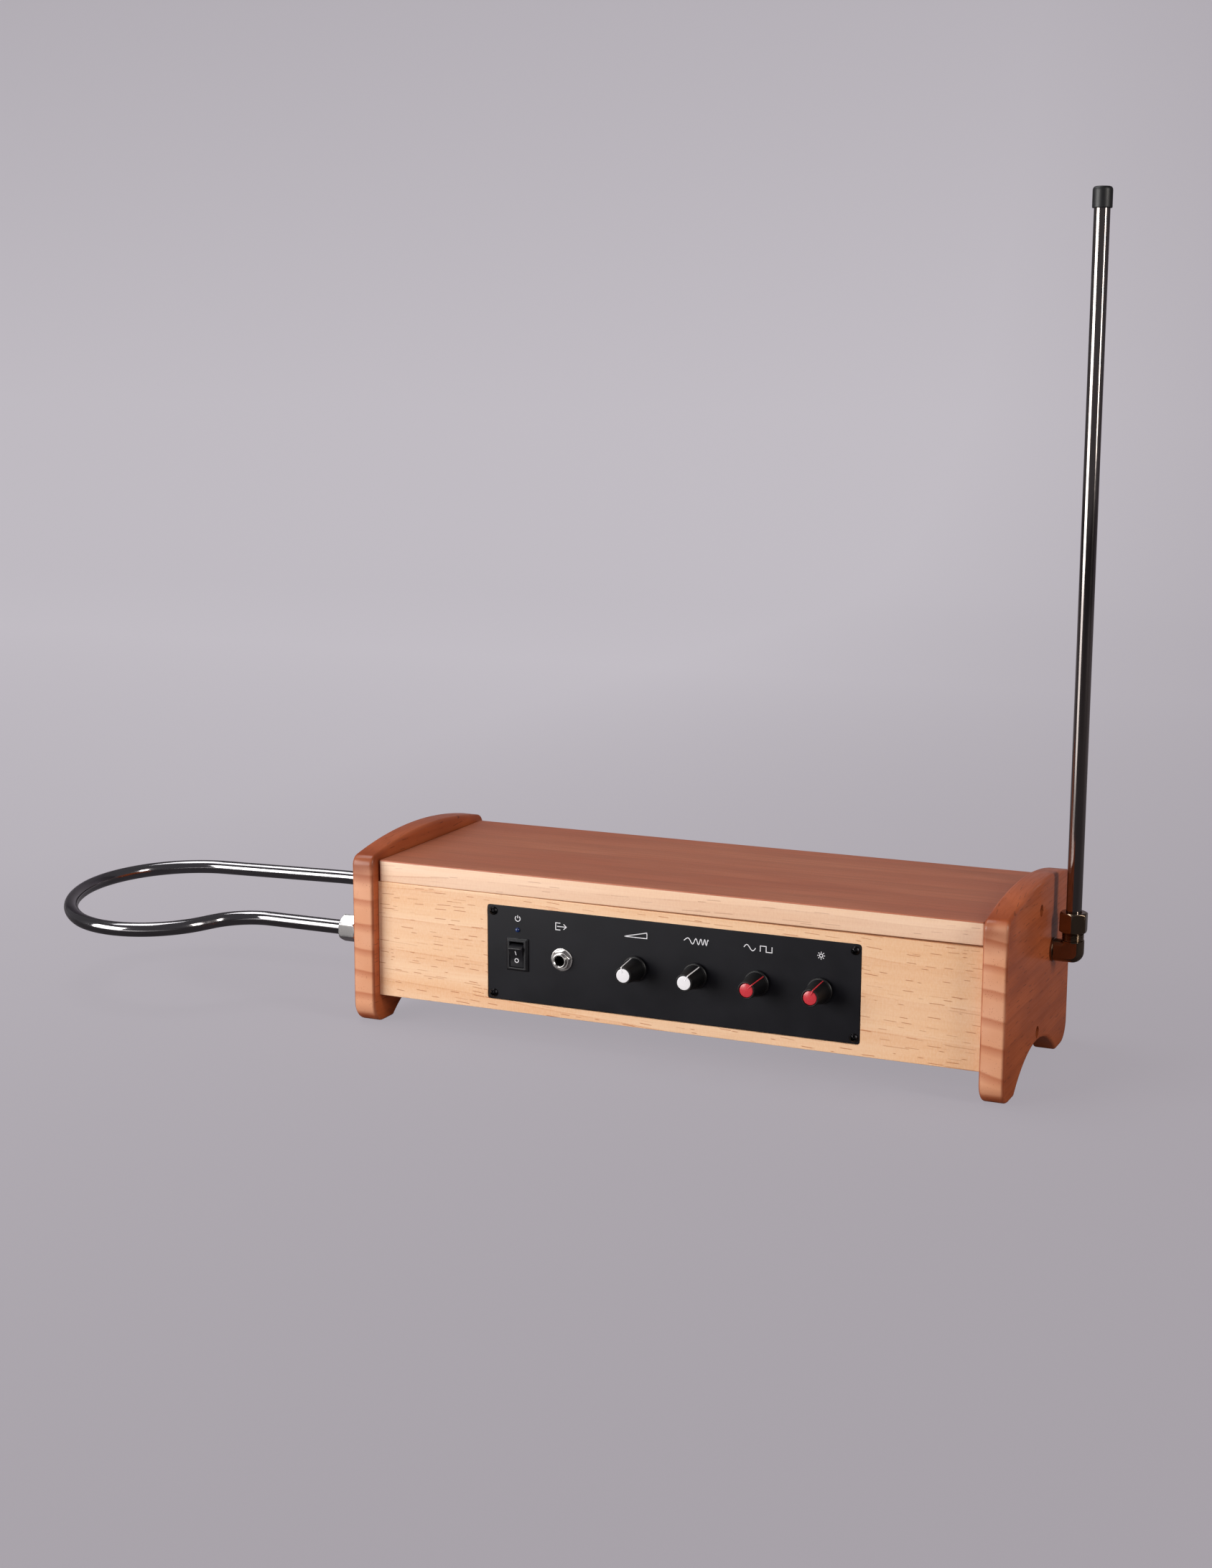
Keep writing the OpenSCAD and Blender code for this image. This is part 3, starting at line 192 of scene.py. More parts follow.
def arc(centre: Sequence[float], radius: float, a0: float, a1: float, count: int) -> np.ndarray:
    """Points of an arc in a plane, centre + radius (cos a, sin a), a0 to a1 in degrees."""
    a = np.radians(np.linspace(a0, a1, count))
    return np.asarray(centre, float) + radius * np.stack([np.cos(a), np.sin(a)], -1)


def inset(loop: np.ndarray, depth: float) -> np.ndarray:
    """Moves the sides of a counter-clockwise path inwards by a depth.

    With n1 and n2 the inward normals of the sides that meet at a corner P, the corner goes
    to P + depth (n1 + n2) / (1 + n1 . n2).

    Args:
        loop: The path's corners, in two coordinates.
        depth: How far the sides go; below 0 they go outwards.

    Returns:
        The moved corners.
    """
    step = np.roll(loop, -1, 0) - loop
    step = step / np.maximum(np.linalg.norm(step, axis=1, keepdims=True), 1e-9)
    after = np.stack([-step[:, 1], step[:, 0]], -1)
    before = np.roll(after, 1, 0)
    spread = 1 + (after * before).sum(1, keepdims=True)
    return loop + depth * (after + before) / np.maximum(spread, 0.2)


def cleaned(loop: np.ndarray) -> np.ndarray:
    """Leaves out the points of a closed path that lie on the one before."""
    gap = np.linalg.norm(loop - np.roll(loop, 1, 0), axis=1)
    return loop[gap > 1e-6]


def lifted(loop: np.ndarray, height: float) -> np.ndarray:
    """Sets a flat path at a height."""
    return np.column_stack([loop, np.full(len(loop), height)])


def within(points: np.ndarray, loop: np.ndarray) -> np.ndarray:
    """Tells which points lie within a closed path: those with an odd count of sides to the right.

    Args:
        points: Points in two coordinates.
        loop: Corners of the path.

    Returns:
        A truth value for each point.
    """
    x, y = points[:, None, 0], points[:, None, 1]
    x0, y0 = loop[None, :, 0], loop[None, :, 1]
    x1, y1 = np.roll(x0, -1, 1), np.roll(y0, -1, 1)
    rise = np.where(y1 == y0, 1e-12, y1 - y0)
    crossed = ((y0 > y) != (y1 > y)) & (x < x0 + (y - y0) * (x1 - x0) / rise)
    return crossed.sum(1) % 2 == 1


def filled(outer: np.ndarray, holes: Sequence[np.ndarray] = ()) -> tuple[np.ndarray, np.ndarray]:
    """Covers the room between a closed path and the holes in it with triangles.

    Args:
        outer: Corners of the path.
        holes: Corners of each hole.

    Returns:
        The points and the triangles between them.
    """
    loops = [outer, *holes]
    starts = np.cumsum([0] + [len(loop) for loop in loops])
    edges = np.concatenate(
        [
            np.stack([np.arange(len(loop)), (np.arange(len(loop)) + 1) % len(loop)], -1) + start
            for loop, start in zip(loops, starts)
        ]
    )
    spots = [Vector(p) for p in np.concatenate(loops).tolist()]
    flat, _, faces, *_ = delaunay_2d_cdt(spots, edges.tolist(), [], 1, 1e-6)
    points, triangles = np.array(flat), np.array(faces)
    middle = points[triangles].mean(1)
    kept = within(middle, outer)
    for hole in holes:
        kept &= ~within(middle, hole)
    return points, triangles[kept]


def spun(profile: np.ndarray, count: int = 64) -> np.ndarray:
    """Carries a profile round the Z axis: the point (r, h) goes to (r cos a, r sin a, h).

    Args:
        profile: Radius and height of each point.
        count: Number of steps round the axis.

    Returns:
        A grid with a ring in each row.
    """
    profile = np.asarray(profile, float)
    ring = circle(1.0, count)
    across = profile[:, None, :1] * ring[None]
    height = np.broadcast_to(profile[:, None, 1:], (*across.shape[:2], 1))
    return np.concatenate([across, height], -1)


def put_in_scene(name: str, data: bpy.types.ID) -> bpy.types.Object:
    """Makes an object at the origin and links it to the scene."""
    made = bpy.data.objects.new(name, data)
    bpy.context.scene.collection.objects.link(made)
    return made


class Skin:
    """Surface of one piece while it is gathered, in millimetres in the box's frame."""

    def __init__(self) -> None:
        """Starts with no points and no faces."""
        self.points: list[np.ndarray] = []
        self.faces: list[list[int]] = []
        self.marks: list[np.ndarray] = []
        self.inks: list[int] = []
        self.count = 0

    def add(
        self,
        points: np.ndarray,
        faces: np.ndarray,
        place: Place | None = None,
        mark: float | np.ndarray = 0.0,
        ink: int = 0,
    ) -> None:
        """Adds a patch of surface.

        Args:
            points: Its points, in any grid, in the piece's own frame.
            faces: Indices of the points of each face.
            place: Where the own frame lies; none means the box's frame.
            mark: Value that the finish reads at each point.
            ink: Number of the finish among the piece's own.
        """
        flat = points.reshape(-1, 3)
        self.marks.append(np.broadcast_to(np.asarray(mark, float).reshape(-1), len(flat)))
        self.points.append(place.put(flat) if place else flat)
        self.faces += (faces + self.count).tolist()
        self.inks += [ink] * len(faces)
        self.count += len(flat)

    def loft(
        self,
        stack: np.ndarray | Sequence[np.ndarray],
        place: Place | None = None,
        ring_rows: bool = False,
        mark: float | np.ndarray = 0.0,
        ink: int = 0,
    ) -> None:
        """Adds the surface through a stack of closed paths with equal numbers of points."""
        stack = np.asarray(stack, float)
        faces = grid_faces(stack.shape[0], stack.shape[1], ring_rows)
        self.add(stack, faces, place, mark, ink)

    def turned(
        self,
        profile: np.ndarray | Sequence[Sequence[float]],
        place: Place | None = None,
        count: int = 64,
        ring_rows: bool = False,
        ink: int = 0,
    ) -> None:
        """Adds a profile of radius and height carried round the own Z axis."""
        self.loft(spun(np.asarray(profile, float), count), place, ring_rows, ink=ink)

    def cap(
        self,
        outer: np.ndarray,
        height: float,
        holes: Sequence[np.ndarray] = (),
        place: Place | None = None,
        mark: float = 0.0,
    ) -> None:
        """Adds a flat face at a height, with holes in it."""
        flat, triangles = filled(outer, holes)
        self.add(lifted(flat, height), triangles, place, mark)

    def settle(
        self,
        name: str,
        body: str,
        finishes: Sequence["Finish"],
        stands_for: Sequence[str] = (),
        crease: float = 38.0,
    ) -> None:
        """Makes the gathered surface an object of the scene.

        Points on one spot are joined, faces are turned outwards, and edges sharper than the
        crease stay sharp to the eye.

        Args:
            name: Name of the piece.
            body: The body it rides on.
            finishes: Its finishes, in the order of the ink numbers.
            stands_for: The CAD nodes it stands for.
            crease: Angle in degrees.
        """
        mesh = bpy.data.meshes.new(name)
        mesh.from_pydata(((np.concatenate(self.points) + CORNER) * MM).tolist(), [], self.faces)
        tint = mesh.attributes.new("mark", "FLOAT", "POINT")
        tint.data.foreach_set("value", np.concatenate(self.marks).astype(np.float32))
        for finish in finishes:
            mesh.materials.append(finish.material())
        mesh.polygons.foreach_set("material_index", self.inks)
        work = bmesh.new()
        work.from_mesh(mesh)
        bmesh.ops.remove_doubles(work, verts=work.verts, dist=2e-6)
        bmesh.ops.recalc_face_normals(work, faces=work.faces)
        work.to_mesh(mesh)
        work.free()
        mesh.shade_smooth()
        mesh.set_sharp_from_angle(angle=math.radians(crease))
        piece = put_in_scene(name, mesh)
        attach(piece, body)
        if stands_for:
            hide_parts(*stands_for)
        LOG.info("%s: %d faces on %s", name, len(mesh.polygons), body)


# ---- Forms that several pieces share ----


def edge_steps(thick: float, ease: float, steps: int = 5, rim: float = 0.15) -> np.ndarray:
    """Inset and height along the edge of a plate, from its lower face to its upper one.

    Both edges are quarter circles: inset e (1 - sin a), height e (1 - cos a). A narrow flat
    rim before each keeps the shading of the faces flat.

    Args:
        thick: Thickness of the plate.
        ease: Radius of its edges.
        steps: Number of pieces of each quarter circle.
        rim: Width of the narrow rim.

    Returns:
        Rows of inset and height.
    """
    a = np.linspace(0, np.pi / 2, steps + 1)
    lower = np.stack([ease * (1 - np.sin(a)), ease * (1 - np.cos(a))], -1)
    upper = np.stack([lower[::-1, 0], thick - lower[::-1, 1]], -1)
    return np.concatenate([[(ease + rim, 0)], lower, upper, [(ease + rim, thick)]])


def add_plate(
    skin: Skin,
    outline: np.ndarray,
    thick: float,
    ease: float,
    place: Place,
    holes: Sequence[np.ndarray] = (),
    end_axis: int | None = None,
    top_mark: float = 0.0,
) -> None:
    """Adds a flat plate with eased edges and holes through it.

    Args:
        skin: Where it is added.
        outline: Its outline, counter-clockwise.
        thick: Its thickness, along its own Z.
        ease: Radius of its edges.
        place: Where its lower face lies.
        holes: For each hole a stack of paths from the lower face to the upper one.
        end_axis: Own axis that the grain runs along; the sides across it are marked 1.
        top_mark: Mark of the upper face and its edge.
    """
    outline = cleaned(outline)
    levels = edge_steps(thick, ease)
    stack = np.stack([lifted(inset(outline, d), z) for d, z in levels])
    mark = np.where(levels[:, 1] > thick - ease * 0.7, top_mark, 0.0)[:, None]
    mark = np.broadcast_to(mark, stack.shape[:2]).copy()
    if end_axis is not None:
        out = outline - inset(outline, 1.0)
        out = out / np.linalg.norm(out, axis=1, keepdims=True)
        side = 1 - np.clip(levels[:, :1] / max(ease, 0.1), 0, 1)
        mark = side * np.clip(np.abs(out[None, :, end_axis]) ** 2 * 1.5 - 0.25, 0, 1)
    skin.loft(stack, place, mark=mark)
    for hole in holes:
        skin.loft(hole, place)
    for row, height, tint in ((0, 0.0, 0.0), (-1, thick, top_mark)):
        rims = [hole[row][:, :2] for hole in holes]
        skin.cap(stack[row][:, :2], height, rims, place, tint)


def add_prism(
    skin: Skin,
    stack: np.ndarray,
    carry: Callable[[np.ndarray], np.ndarray],
    place: Place | None = None,
) -> None:
    """Adds a closed solid through a stack of flat paths.

    Args:
        skin: Where it is added.
        stack: Paths of equal length, each at one height.
        carry: Takes points in rows from the stack's axes to the piece's own.
        place: Where the own frame lies; none means the box's frame.
    """
    skin.add(carry(stack.reshape(-1, 3)), grid_faces(*stack.shape[:2]), place)
    for end in (stack[0], stack[-1]):
        flat, triangles = filled(cleaned(end[:, :2]))
        skin.add(carry(lifted(flat, end[0, 2])), triangles, place)


def bore(x: float, y: float, profile: Sequence[Sequence[float]]) -> np.ndarray:
    """A round hole: circles about (x, y) for each radius and height of its profile."""
    return spun(np.asarray(profile, float), 32) + np.array([x, y, 0.0])


def polar(radii: np.ndarray, angles: np.ndarray, heights: np.ndarray) -> np.ndarray:
    """Stack of rings from the radius at each height and each angle."""
    level = np.broadcast_to(heights[:, None], radii.shape)
    return np.stack([radii * np.cos(angles), radii * np.sin(angles), level], -1)


def hexagon_radius(across: float, angles: np.ndarray) -> np.ndarray:
    """Radius of a hexagon with slightly soft corners at the given angles.

    It is half the width over the flats divided by the p-norm of the six flats' cosines
    cos(a - 60 k), which for a large p is the largest of them.

    Args:
        across: Width over the flats.
        angles: Angles from a corner, in radians.

    Returns:
        The radius at each angle.
    """
    p = 70.0
    flats = np.radians(np.arange(6) * 60 + 30)
    share = np.maximum(np.cos(angles[:, None] - flats[None]), 0)
    return across / 2 / (share**p).sum(1) ** (1 / p)


def add_hexagon(
    skin: Skin,
    across: float,
    length: float,
    bore_r: float,
    place: Place,
    bevels: tuple[float, float] = (1.1, 1.1),
    narrow: float = 0.4,
) -> None:
    """Adds a hexagonal nut with turned ends.

    Its radius is the smaller, softly, of the hexagon's and of a cone that narrows towards
    each end: (h^-p + c^-p)^(-1/p) with p = 60.

    Args:
        skin: Where it is added.
        across: Width over the flats.
        length: Length along its own Z.
        bore_r: Radius of its bore.
        place: Where its lower end lies.
        bevels: Height of the cone at the lower and the upper end.
        narrow: How much less than half the width over the flats the ends' radius is.
    """
    count = 144
    a = np.linspace(0, 2 * np.pi, count, endpoint=False)
    hexagon = hexagon_radius(across, a)
    end_r, corner_r = across / 2 - narrow, across / 2 / math.cos(math.radians(30)) + 0.05
    low, high = bevels
    rise = np.linspace(0, 1, 9)
    heights = np.concatenate([low * rise, length - high * rise[::-1]])
    cone = np.concatenate([end_r + (corner_r - end_r) * rise, corner_r - (corner_r - end_r) * rise])
    if high == 0:
        cone[9:] = corner_r + 2
    if low == 0:
        cone[:9] = corner_r + 2
    p = 60.0
    outer = (hexagon[None] ** -p + cone[:, None] ** -p) ** (-1 / p)
    ease = 0.25
    inner = np.array(
        [(bore_r + ease, length), (bore_r, length - ease), (bore_r, ease), (bore_r + ease, 0)]
    )
    radii = np.concatenate([outer, np.broadcast_to(inner[:, :1], (4, count))])
    levels = np.concatenate([heights, inner[:, 1]])
    skin.loft(polar(radii, a, levels), place, ring_rows=True)


def add_thread(
    skin: Skin,
    radius: float,
    length: float,
    pitch: float,
    depth: float,
    bore_r: float,
    place: Place,
    mouth: float = 0.8,
) -> None:
    """Adds a tube with a screw thread outside.

    The radius at height h and angle a is R - depth (1 + cos 2 pi (h / pitch - a / 2 pi)) / 2,
    and the thread fades out over half a pitch at both ends.

    Args:
        skin: Where it is added.
        radius: Outer radius of the thread.
        length: Length along its own Z.
        pitch: Rise of the thread in one turn.
        depth: Depth of the thread.
        bore_r: Radius of the bore.
        place: Where its lower end lies.
        mouth: How much the bore widens at the upper end.
    """
    count = 96
    a = np.linspace(0, 2 * np.pi, count, endpoint=False)
    h = np.linspace(0, length, int(length / pitch * 10) + 2)
    wave = 0.5 + 0.5 * np.cos(2 * np.pi * (h[:, None] / pitch) - a[None])
    fade = np.clip(np.minimum(h, length - h) / (0.5 * pitch), 0, 1)[:, None]
    radii = radius - depth * (1 - fade) - depth * wave * fade
    inner = np.array([(bore_r + mouth, length), (bore_r, length - mouth), (bore_r, 0)])
    radii = np.concatenate([radii, np.broadcast_to(inner[:, :1], (3, count))])
    levels = np.concatenate([h, inner[:, 1]])
    skin.loft(polar(radii, a, levels), place, ring_rows=True)


def add_cross_screw(
    skin: Skin, head_d: float, shank_d: float, length: float, place: Place
) -> None:
    """Adds a pan-head screw with a cross recess.

    The head's height is a dome, h sqrt(1 - (r / R)^2.6), less a recess of depth
    0.55 h that fills a cross of two bars and narrows to the bottom.

    Args:
        skin: Where it is added.
        head_d: Diameter of the head.
        shank_d: Diameter of the shank.
        length: Length of the shank.
        place: Where the head's underside lies.
    """
    head_r, head_h = head_d / 2, 0.38 * head_d
    r = head_r * np.linspace(0, 1, 25) ** 0.8
    a = np.linspace(0, 2 * np.pi, 96, endpoint=False)
    x, y = r[:, None] * np.cos(a), r[:, None] * np.sin(a)
    dome = head_h * (1 - (r[:, None] / head_r) ** 2.6 * 0.75)
    bar = np.minimum(np.abs(x), np.abs(y))
    reach = np.clip((0.31 * head_d - np.maximum(np.abs(x), np.abs(y))) / (0.04 * head_d), 0, 1)
    recess = np.clip((0.1 * head_d - bar) / (0.045 * head_d), 0, 1) * reach
    top = np.stack([x, y, dome - 0.55 * head_h * recess], -1)[::-1]
    under = spun(
        [(0, -length), (0.1 * shank_d, -length), (shank_d / 2, -length + shank_d / 2),
         (shank_d / 2, 0), (head_r * 0.94, 0), (head_r, 0.12 * head_h)],
        96,
    )
    skin.loft(np.concatenate([under, top]), place)


def add_bar(
    skin: Skin,
    path: np.ndarray,
    width: float,
    thick: float,
    place: Place,
    closed: bool = False,
) -> None:
    """Adds a flat printed or raised line along a path.

    The line's two sides lie half its width to the left and right of the path, at the
    heights 0 and thick.

    Args:
        skin: Where it is added.
        path: Points in two coordinates.
        width: Width of the line.
        thick: Its thickness along its own Z.
        place: Where its own origin lies.
        closed: Whether its end meets its start.
    """
    path = np.asarray(path, float)
    step = np.roll(path, -1, 0) - path
    if not closed:
        step[-1] = step[-2]
    step = step / np.linalg.norm(step, axis=1, keepdims=True)
    side = np.stack([-step[:, 1], step[:, 0]], -1)
    before = np.roll(side, 1, 0)
    if not closed:
        before[0] = side[0]
    out = (side + before) / np.maximum(1 + (side * before).sum(1, keepdims=True), 0.3) * width / 2
    left, right = path + out, path - out
    sides = ((left, 0), (right, 0), (right, thick), (left, thick))
    stack = np.stack([lifted(edge, height) for edge, height in sides], 1)
    faces = grid_faces(len(path), 4, ring_rows=closed)
    if not closed:
        ends = np.array([[3, 2, 1, 0], [0, 1, 2, 3]]) + [[0], [4 * (len(path) - 1)]]
        faces = np.concatenate([faces, ends])
    skin.add(stack, faces, place)


# ---- Finishes ----


def linear(code: str) -> tuple[float, float, float, float]:
    """Turns an sRGB hex value to linear red, green, blue and alpha."""
    parts = [int(code[i : i + 2], 16) / 255 for i in (1, 3, 5)]
    red, green, blue = (c / 12.92 if c <= 0.04045 else ((c + 0.055) / 1.055) ** 2.4 for c in parts)
    return red, green, blue, 1.0


def per_mm(along_x: float, along_y: float, along_z: float) -> tuple[float, float, float]:
    """Scale for a pattern on coordinates in metres whose features have these sizes in mm."""
    return 1 / (along_x * MM), 1 / (along_y * MM), 1 / (along_z * MM)


def add_node(
    tree: bpy.types.NodeTree, kind: str, inputs: dict | None = None, **settings: object
) -> bpy.types.Node:
    """Adds a node with its settings, and sets or links its inputs.

    Args:
        tree: The material's node tree.
        kind: Blender's name for the node, without ShaderNode.
        inputs: For each input, by name or number, a value or an output to link.
        settings: The node's properties.

    Returns:
        The node.
    """
    made = tree.nodes.new("ShaderNode" + kind)
    for key, value in settings.items():
        setattr(made, key, value)
    for key, value in (inputs or {}).items():
        if isinstance(value, bpy.types.NodeSocket):
            tree.links.new(value, made.inputs[key])
        else:
            made.inputs[key].default_value = value
    return made


class Pen:
    """Draws patterns in one material's node tree."""

    def __init__(self, tree: bpy.types.NodeTree) -> None:
        """Starts from the piece's own coordinates.

        Args:
            tree: The material's node tree.
        """
        self.tree = tree
        self.spot = add_node(tree, "TexCoord").outputs["Object"]

    def grain(
        self,
        size: tuple[float, float, float],
        detail: float = 2.0,
        low: float = 0.4,
        high: float = 0.6,
    ) -> bpy.types.NodeSocket:
        """Noise whose features have the given size in mm, stretched between two levels.

        Args:
            size: Length of a feature along X, Y and Z.
            detail: Number of finer layers.
            low: Level that becomes 0.
            high: Level that becomes 1.

        Returns:
            The output, from 0 to 1.
        """
        inputs = {"Vector": self.scaled(*size), "Scale": 1.0, "Detail": detail}
        return self.span(add_node(self.tree, "TexNoise", inputs).outputs["Fac"], low, high)

    def scaled(self, *size: float) -> bpy.types.NodeSocket:
        """The piece's coordinates, in steps of the given sizes in mm."""
        inputs = {"Vector": self.spot, "Scale": per_mm(*size)}
        return add_node(self.tree, "Mapping", inputs).outputs[0]

    def cells(self, *size: float, **settings: object) -> bpy.types.NodeSocket:
        """Distance to the nearest of scattered points that lie about these sizes in mm apart."""
        inputs = {"Vector": self.scaled(*size), "Scale": 1.0}
        return add_node(self.tree, "TexVoronoi", inputs, **settings).outputs["Distance"]

    def in_mm(self) -> list[bpy.types.NodeSocket]:
        """Place along X, Y and Z in the shared frame, in mm."""
        mm = add_node(
            self.tree, "VectorMath", {0: self.spot, 1: (1 / MM,) * 3}, operation="MULTIPLY"
        ).outputs[0]
        return list(add_node(self.tree, "SeparateXYZ", {0: mm}).outputs)

    def lay(self, lean: float, sway_mm: float) -> tuple[bpy.types.NodeSocket, bpy.types.NodeSocket]:
        """Place along X and across it, in mm, for grain that leans and sways a little.

        Across is y + z + x tan(lean) + sway (noise - 0.5), so it serves a board's face and
        its edges alike.

        Args:
            lean: Slope of the grain, in degrees.
            sway_mm: How far the grain sways.

        Returns:
            The outputs along and across.
        """
        x, y, z = self.in_mm()
        sway = self.grain((150, 150, 60), 1, 0.0, 1.0)
        leant = self.sum("MULTIPLY_ADD", x, math.tan(math.radians(lean)), self.sum("ADD", y, z))
        return x, self.sum("MULTIPLY_ADD", sway, sway_mm, leant)

    def strokes(
        self,
        along: bpy.types.NodeSocket,
        across: bpy.types.NodeSocket,
        cell: tuple[float, float],
        reach: tuple[float, float],
        thick: float,
        share: float,
    ) -> bpy.types.NodeSocket:
        """Short strokes along the grain, one at most in each cell of a scattered pattern.

        Args:
            along: Place along the grain, in mm.
            across: Place across the grain, in mm.
            cell: Mean room of a stroke along and across.
            reach: Least and most half length of a stroke.
            thick: Half thickness of a stroke.
            share: Share of the cells that hold a stroke.

        Returns:
            1 on a stroke, 0 elsewhere.
        """
        plane = add_node(
            self.tree, "CombineXYZ",
            {0: self.sum("DIVIDE", along, cell[0]), 1: self.sum("DIVIDE", across, cell[1])},
        ).outputs[0]
        cells = add_node(
            self.tree, "TexVoronoi", {"Vector": plane, "Scale": 1.0}, voronoi_dimensions="2D"
        ).outputs
        gap = add_node(
            self.tree, "VectorMath", {0: plane, 1: cells["Position"]}, operation="SUBTRACT"
        ).outputs[0]
        run, off, _ = add_node(self.tree, "SeparateXYZ", {0: gap}).outputs
        run = self.sum("MULTIPLY", self.sum("ABSOLUTE", run), cell[0])
        off = self.sum("MULTIPLY", self.sum("ABSOLUTE", off), cell[1])
        luck = add_node(self.tree, "SeparateColor", {0: cells["Color"]}).outputs
        left = self.sum("SUBTRACT", self.span(luck[0], 0, 1, reach), run)
        slim = self.span(off, thick + 0.14, thick - 0.06)
        mark = self.sum("MULTIPLY", self.span(left, 0, 1.2), slim)
        return self.sum("MULTIPLY", mark, self.span(luck[1], 1 - share, 1.3 - share))

    def span(
        self, value: bpy.types.NodeSocket, low: float, high: float, to: tuple[float, float] = (0, 1)
    ) -> bpy.types.NodeSocket:
        """Carries a value from the range low to high onto another range, and stays in it."""
        inputs = {0: value, 1: low, 2: high, 3: to[0], 4: to[1]}
        return add_node(self.tree, "MapRange", inputs).outputs[0]

    def sum(self, operation: str, *values: float | bpy.types.NodeSocket) -> bpy.types.NodeSocket:
        """One step of arithmetic, by Blender's name for it."""
        return add_node(self.tree, "Math", dict(enumerate(values)), operation=operation).outputs[0]

    def mix(
        self,
        share: bpy.types.NodeSocket,
        under: str | bpy.types.NodeSocket,
        over: str | bpy.types.NodeSocket,
        strength: float = 1.0,
    ) -> bpy.types.NodeSocket:
        """Lays one colour over another.

        Args:
            share: How much of the upper one shows, from 0 to 1.
            under: The lower colour, as hex or an output.
            over: The upper colour, as hex or an output.
            strength: Limit of the share.

        Returns:
            The mixed colour.
        """
        if strength != 1.0:
            share = self.sum("MULTIPLY", share, strength)
        inputs = {
            0: share,
            6: linear(under) if isinstance(under, str) else under,
            7: linear(over) if isinstance(over, str) else over,
        }
        return add_node(self.tree, "Mix", inputs, data_type="RGBA").outputs[2]

    def layered(
        self, colour: str, *layers: tuple[bpy.types.NodeSocket, str, float]
    ) -> bpy.types.NodeSocket:
        """Lays colours over a first one in order, each with its share and its strength."""
        for share, over, strength in layers:
            colour = self.mix(share, colour, over, strength)
        return colour

    def relief(self, height: bpy.types.NodeSocket, depth_mm: float) -> bpy.types.NodeSocket:
        """Bends the light as a relief of the given depth in mm would."""
        inputs = {"Height": height, "Distance": depth_mm * MM, "Strength": 1.0}
        return add_node(self.tree, "Bump", inputs).outputs[0]

    def mark(self) -> bpy.types.NodeSocket:
        """The value that a piece's builder wrote at each point."""
        return add_node(
            self.tree, "Attribute", attribute_name="mark", attribute_type="GEOMETRY"
        ).outputs["Fac"]


@dataclass(frozen=True)
class Finish:
    """A surface with one colour and a shine.

    Attributes:
        name: Name of the material.
        colour: Its colour as an sRGB hex value.
        roughness: Blur of its shine.
        metallic: 1 for bare metal.
        coat: Strength of a clear coat.
        coat_roughness: Blur of the clear coat's shine.
        mirror: Strength of the surface's own mirror image; 0.5 is that of clear plastic.
    """

    name: str
    colour: str
    roughness: float
    metallic: float = 0.0
    coat: float = 0.0
    coat_roughness: float = 0.1
    mirror: float = 0.5

    def material(self) -> bpy.types.Material:
        """Makes the material, or finds the one made before.

        Returns:
            The material.
        """
        known = bpy.data.materials.get(self.name)
        if known:
            return known
        made = bpy.data.materials.new(self.name)
        made.use_nodes = True
        shader = made.node_tree.nodes["Principled BSDF"]
        values = {
            "Base Color": linear(self.colour),
            "Roughness": self.roughness,
            "Metallic": self.metallic,
            "Coat Weight": self.coat,
            "Coat Roughness": self.coat_roughness,
            "Specular IOR Level": self.mirror,
        }
        for key, value in values.items():
            shader.inputs[key].default_value = value
        made.diffuse_color = linear(self.colour)
        self.draw(Pen(made.node_tree), shader)
        return made

    def draw(self, pen: Pen, shader: bpy.types.Node) -> None:
        """Draws the finish's own pattern; each kind of finish has its own."""

    def join(self, pen: Pen, shader: bpy.types.Node, **outputs: bpy.types.NodeSocket) -> None:
        """Links drawn outputs to the shader.

        Args:
            pen: The pen that drew them.
            shader: The material's shader.
            outputs: An output for each input, with _ for a space in its name.
        """
        for key, output in outputs.items():
            pen.tree.links.new(output, shader.inputs[key.replace("_", " ")])


@dataclass(frozen=True)
class Moulded(Finish):
    """Moulded, sprayed or printed stuff: a fine even grain and a faint cloud of shade.

    Attributes:
        shade: Colour of the cloud.
        grain_mm: Size of the grain.
        depth_mm: Depth of the grain.
    """

    shade: str = "#000000"
    grain_mm: float = 0.35
    depth_mm: float = 0.01

    def draw(self, pen: Pen, shader: bpy.types.Node) -> None:
        """Mixes the shade in by a slow cloud and roughens the surface by the grain."""
        cloud = pen.grain((22, 22, 22), 3, 0.35, 0.7)
        grain = pen.grain((self.grain_mm,) * 3, 1, 0.3, 0.7)
        colour = pen.mix(cloud, self.colour, self.shade, 0.35)
        ends = (self.roughness - 0.05, self.roughness + 0.07)
        rough = pen.span(pen.sum("ADD", cloud, grain), 0, 2, ends)
        relief = pen.relief(grain, self.depth_mm)
        self.join(pen, shader, Base_Color=colour, Roughness=rough, Normal=relief)


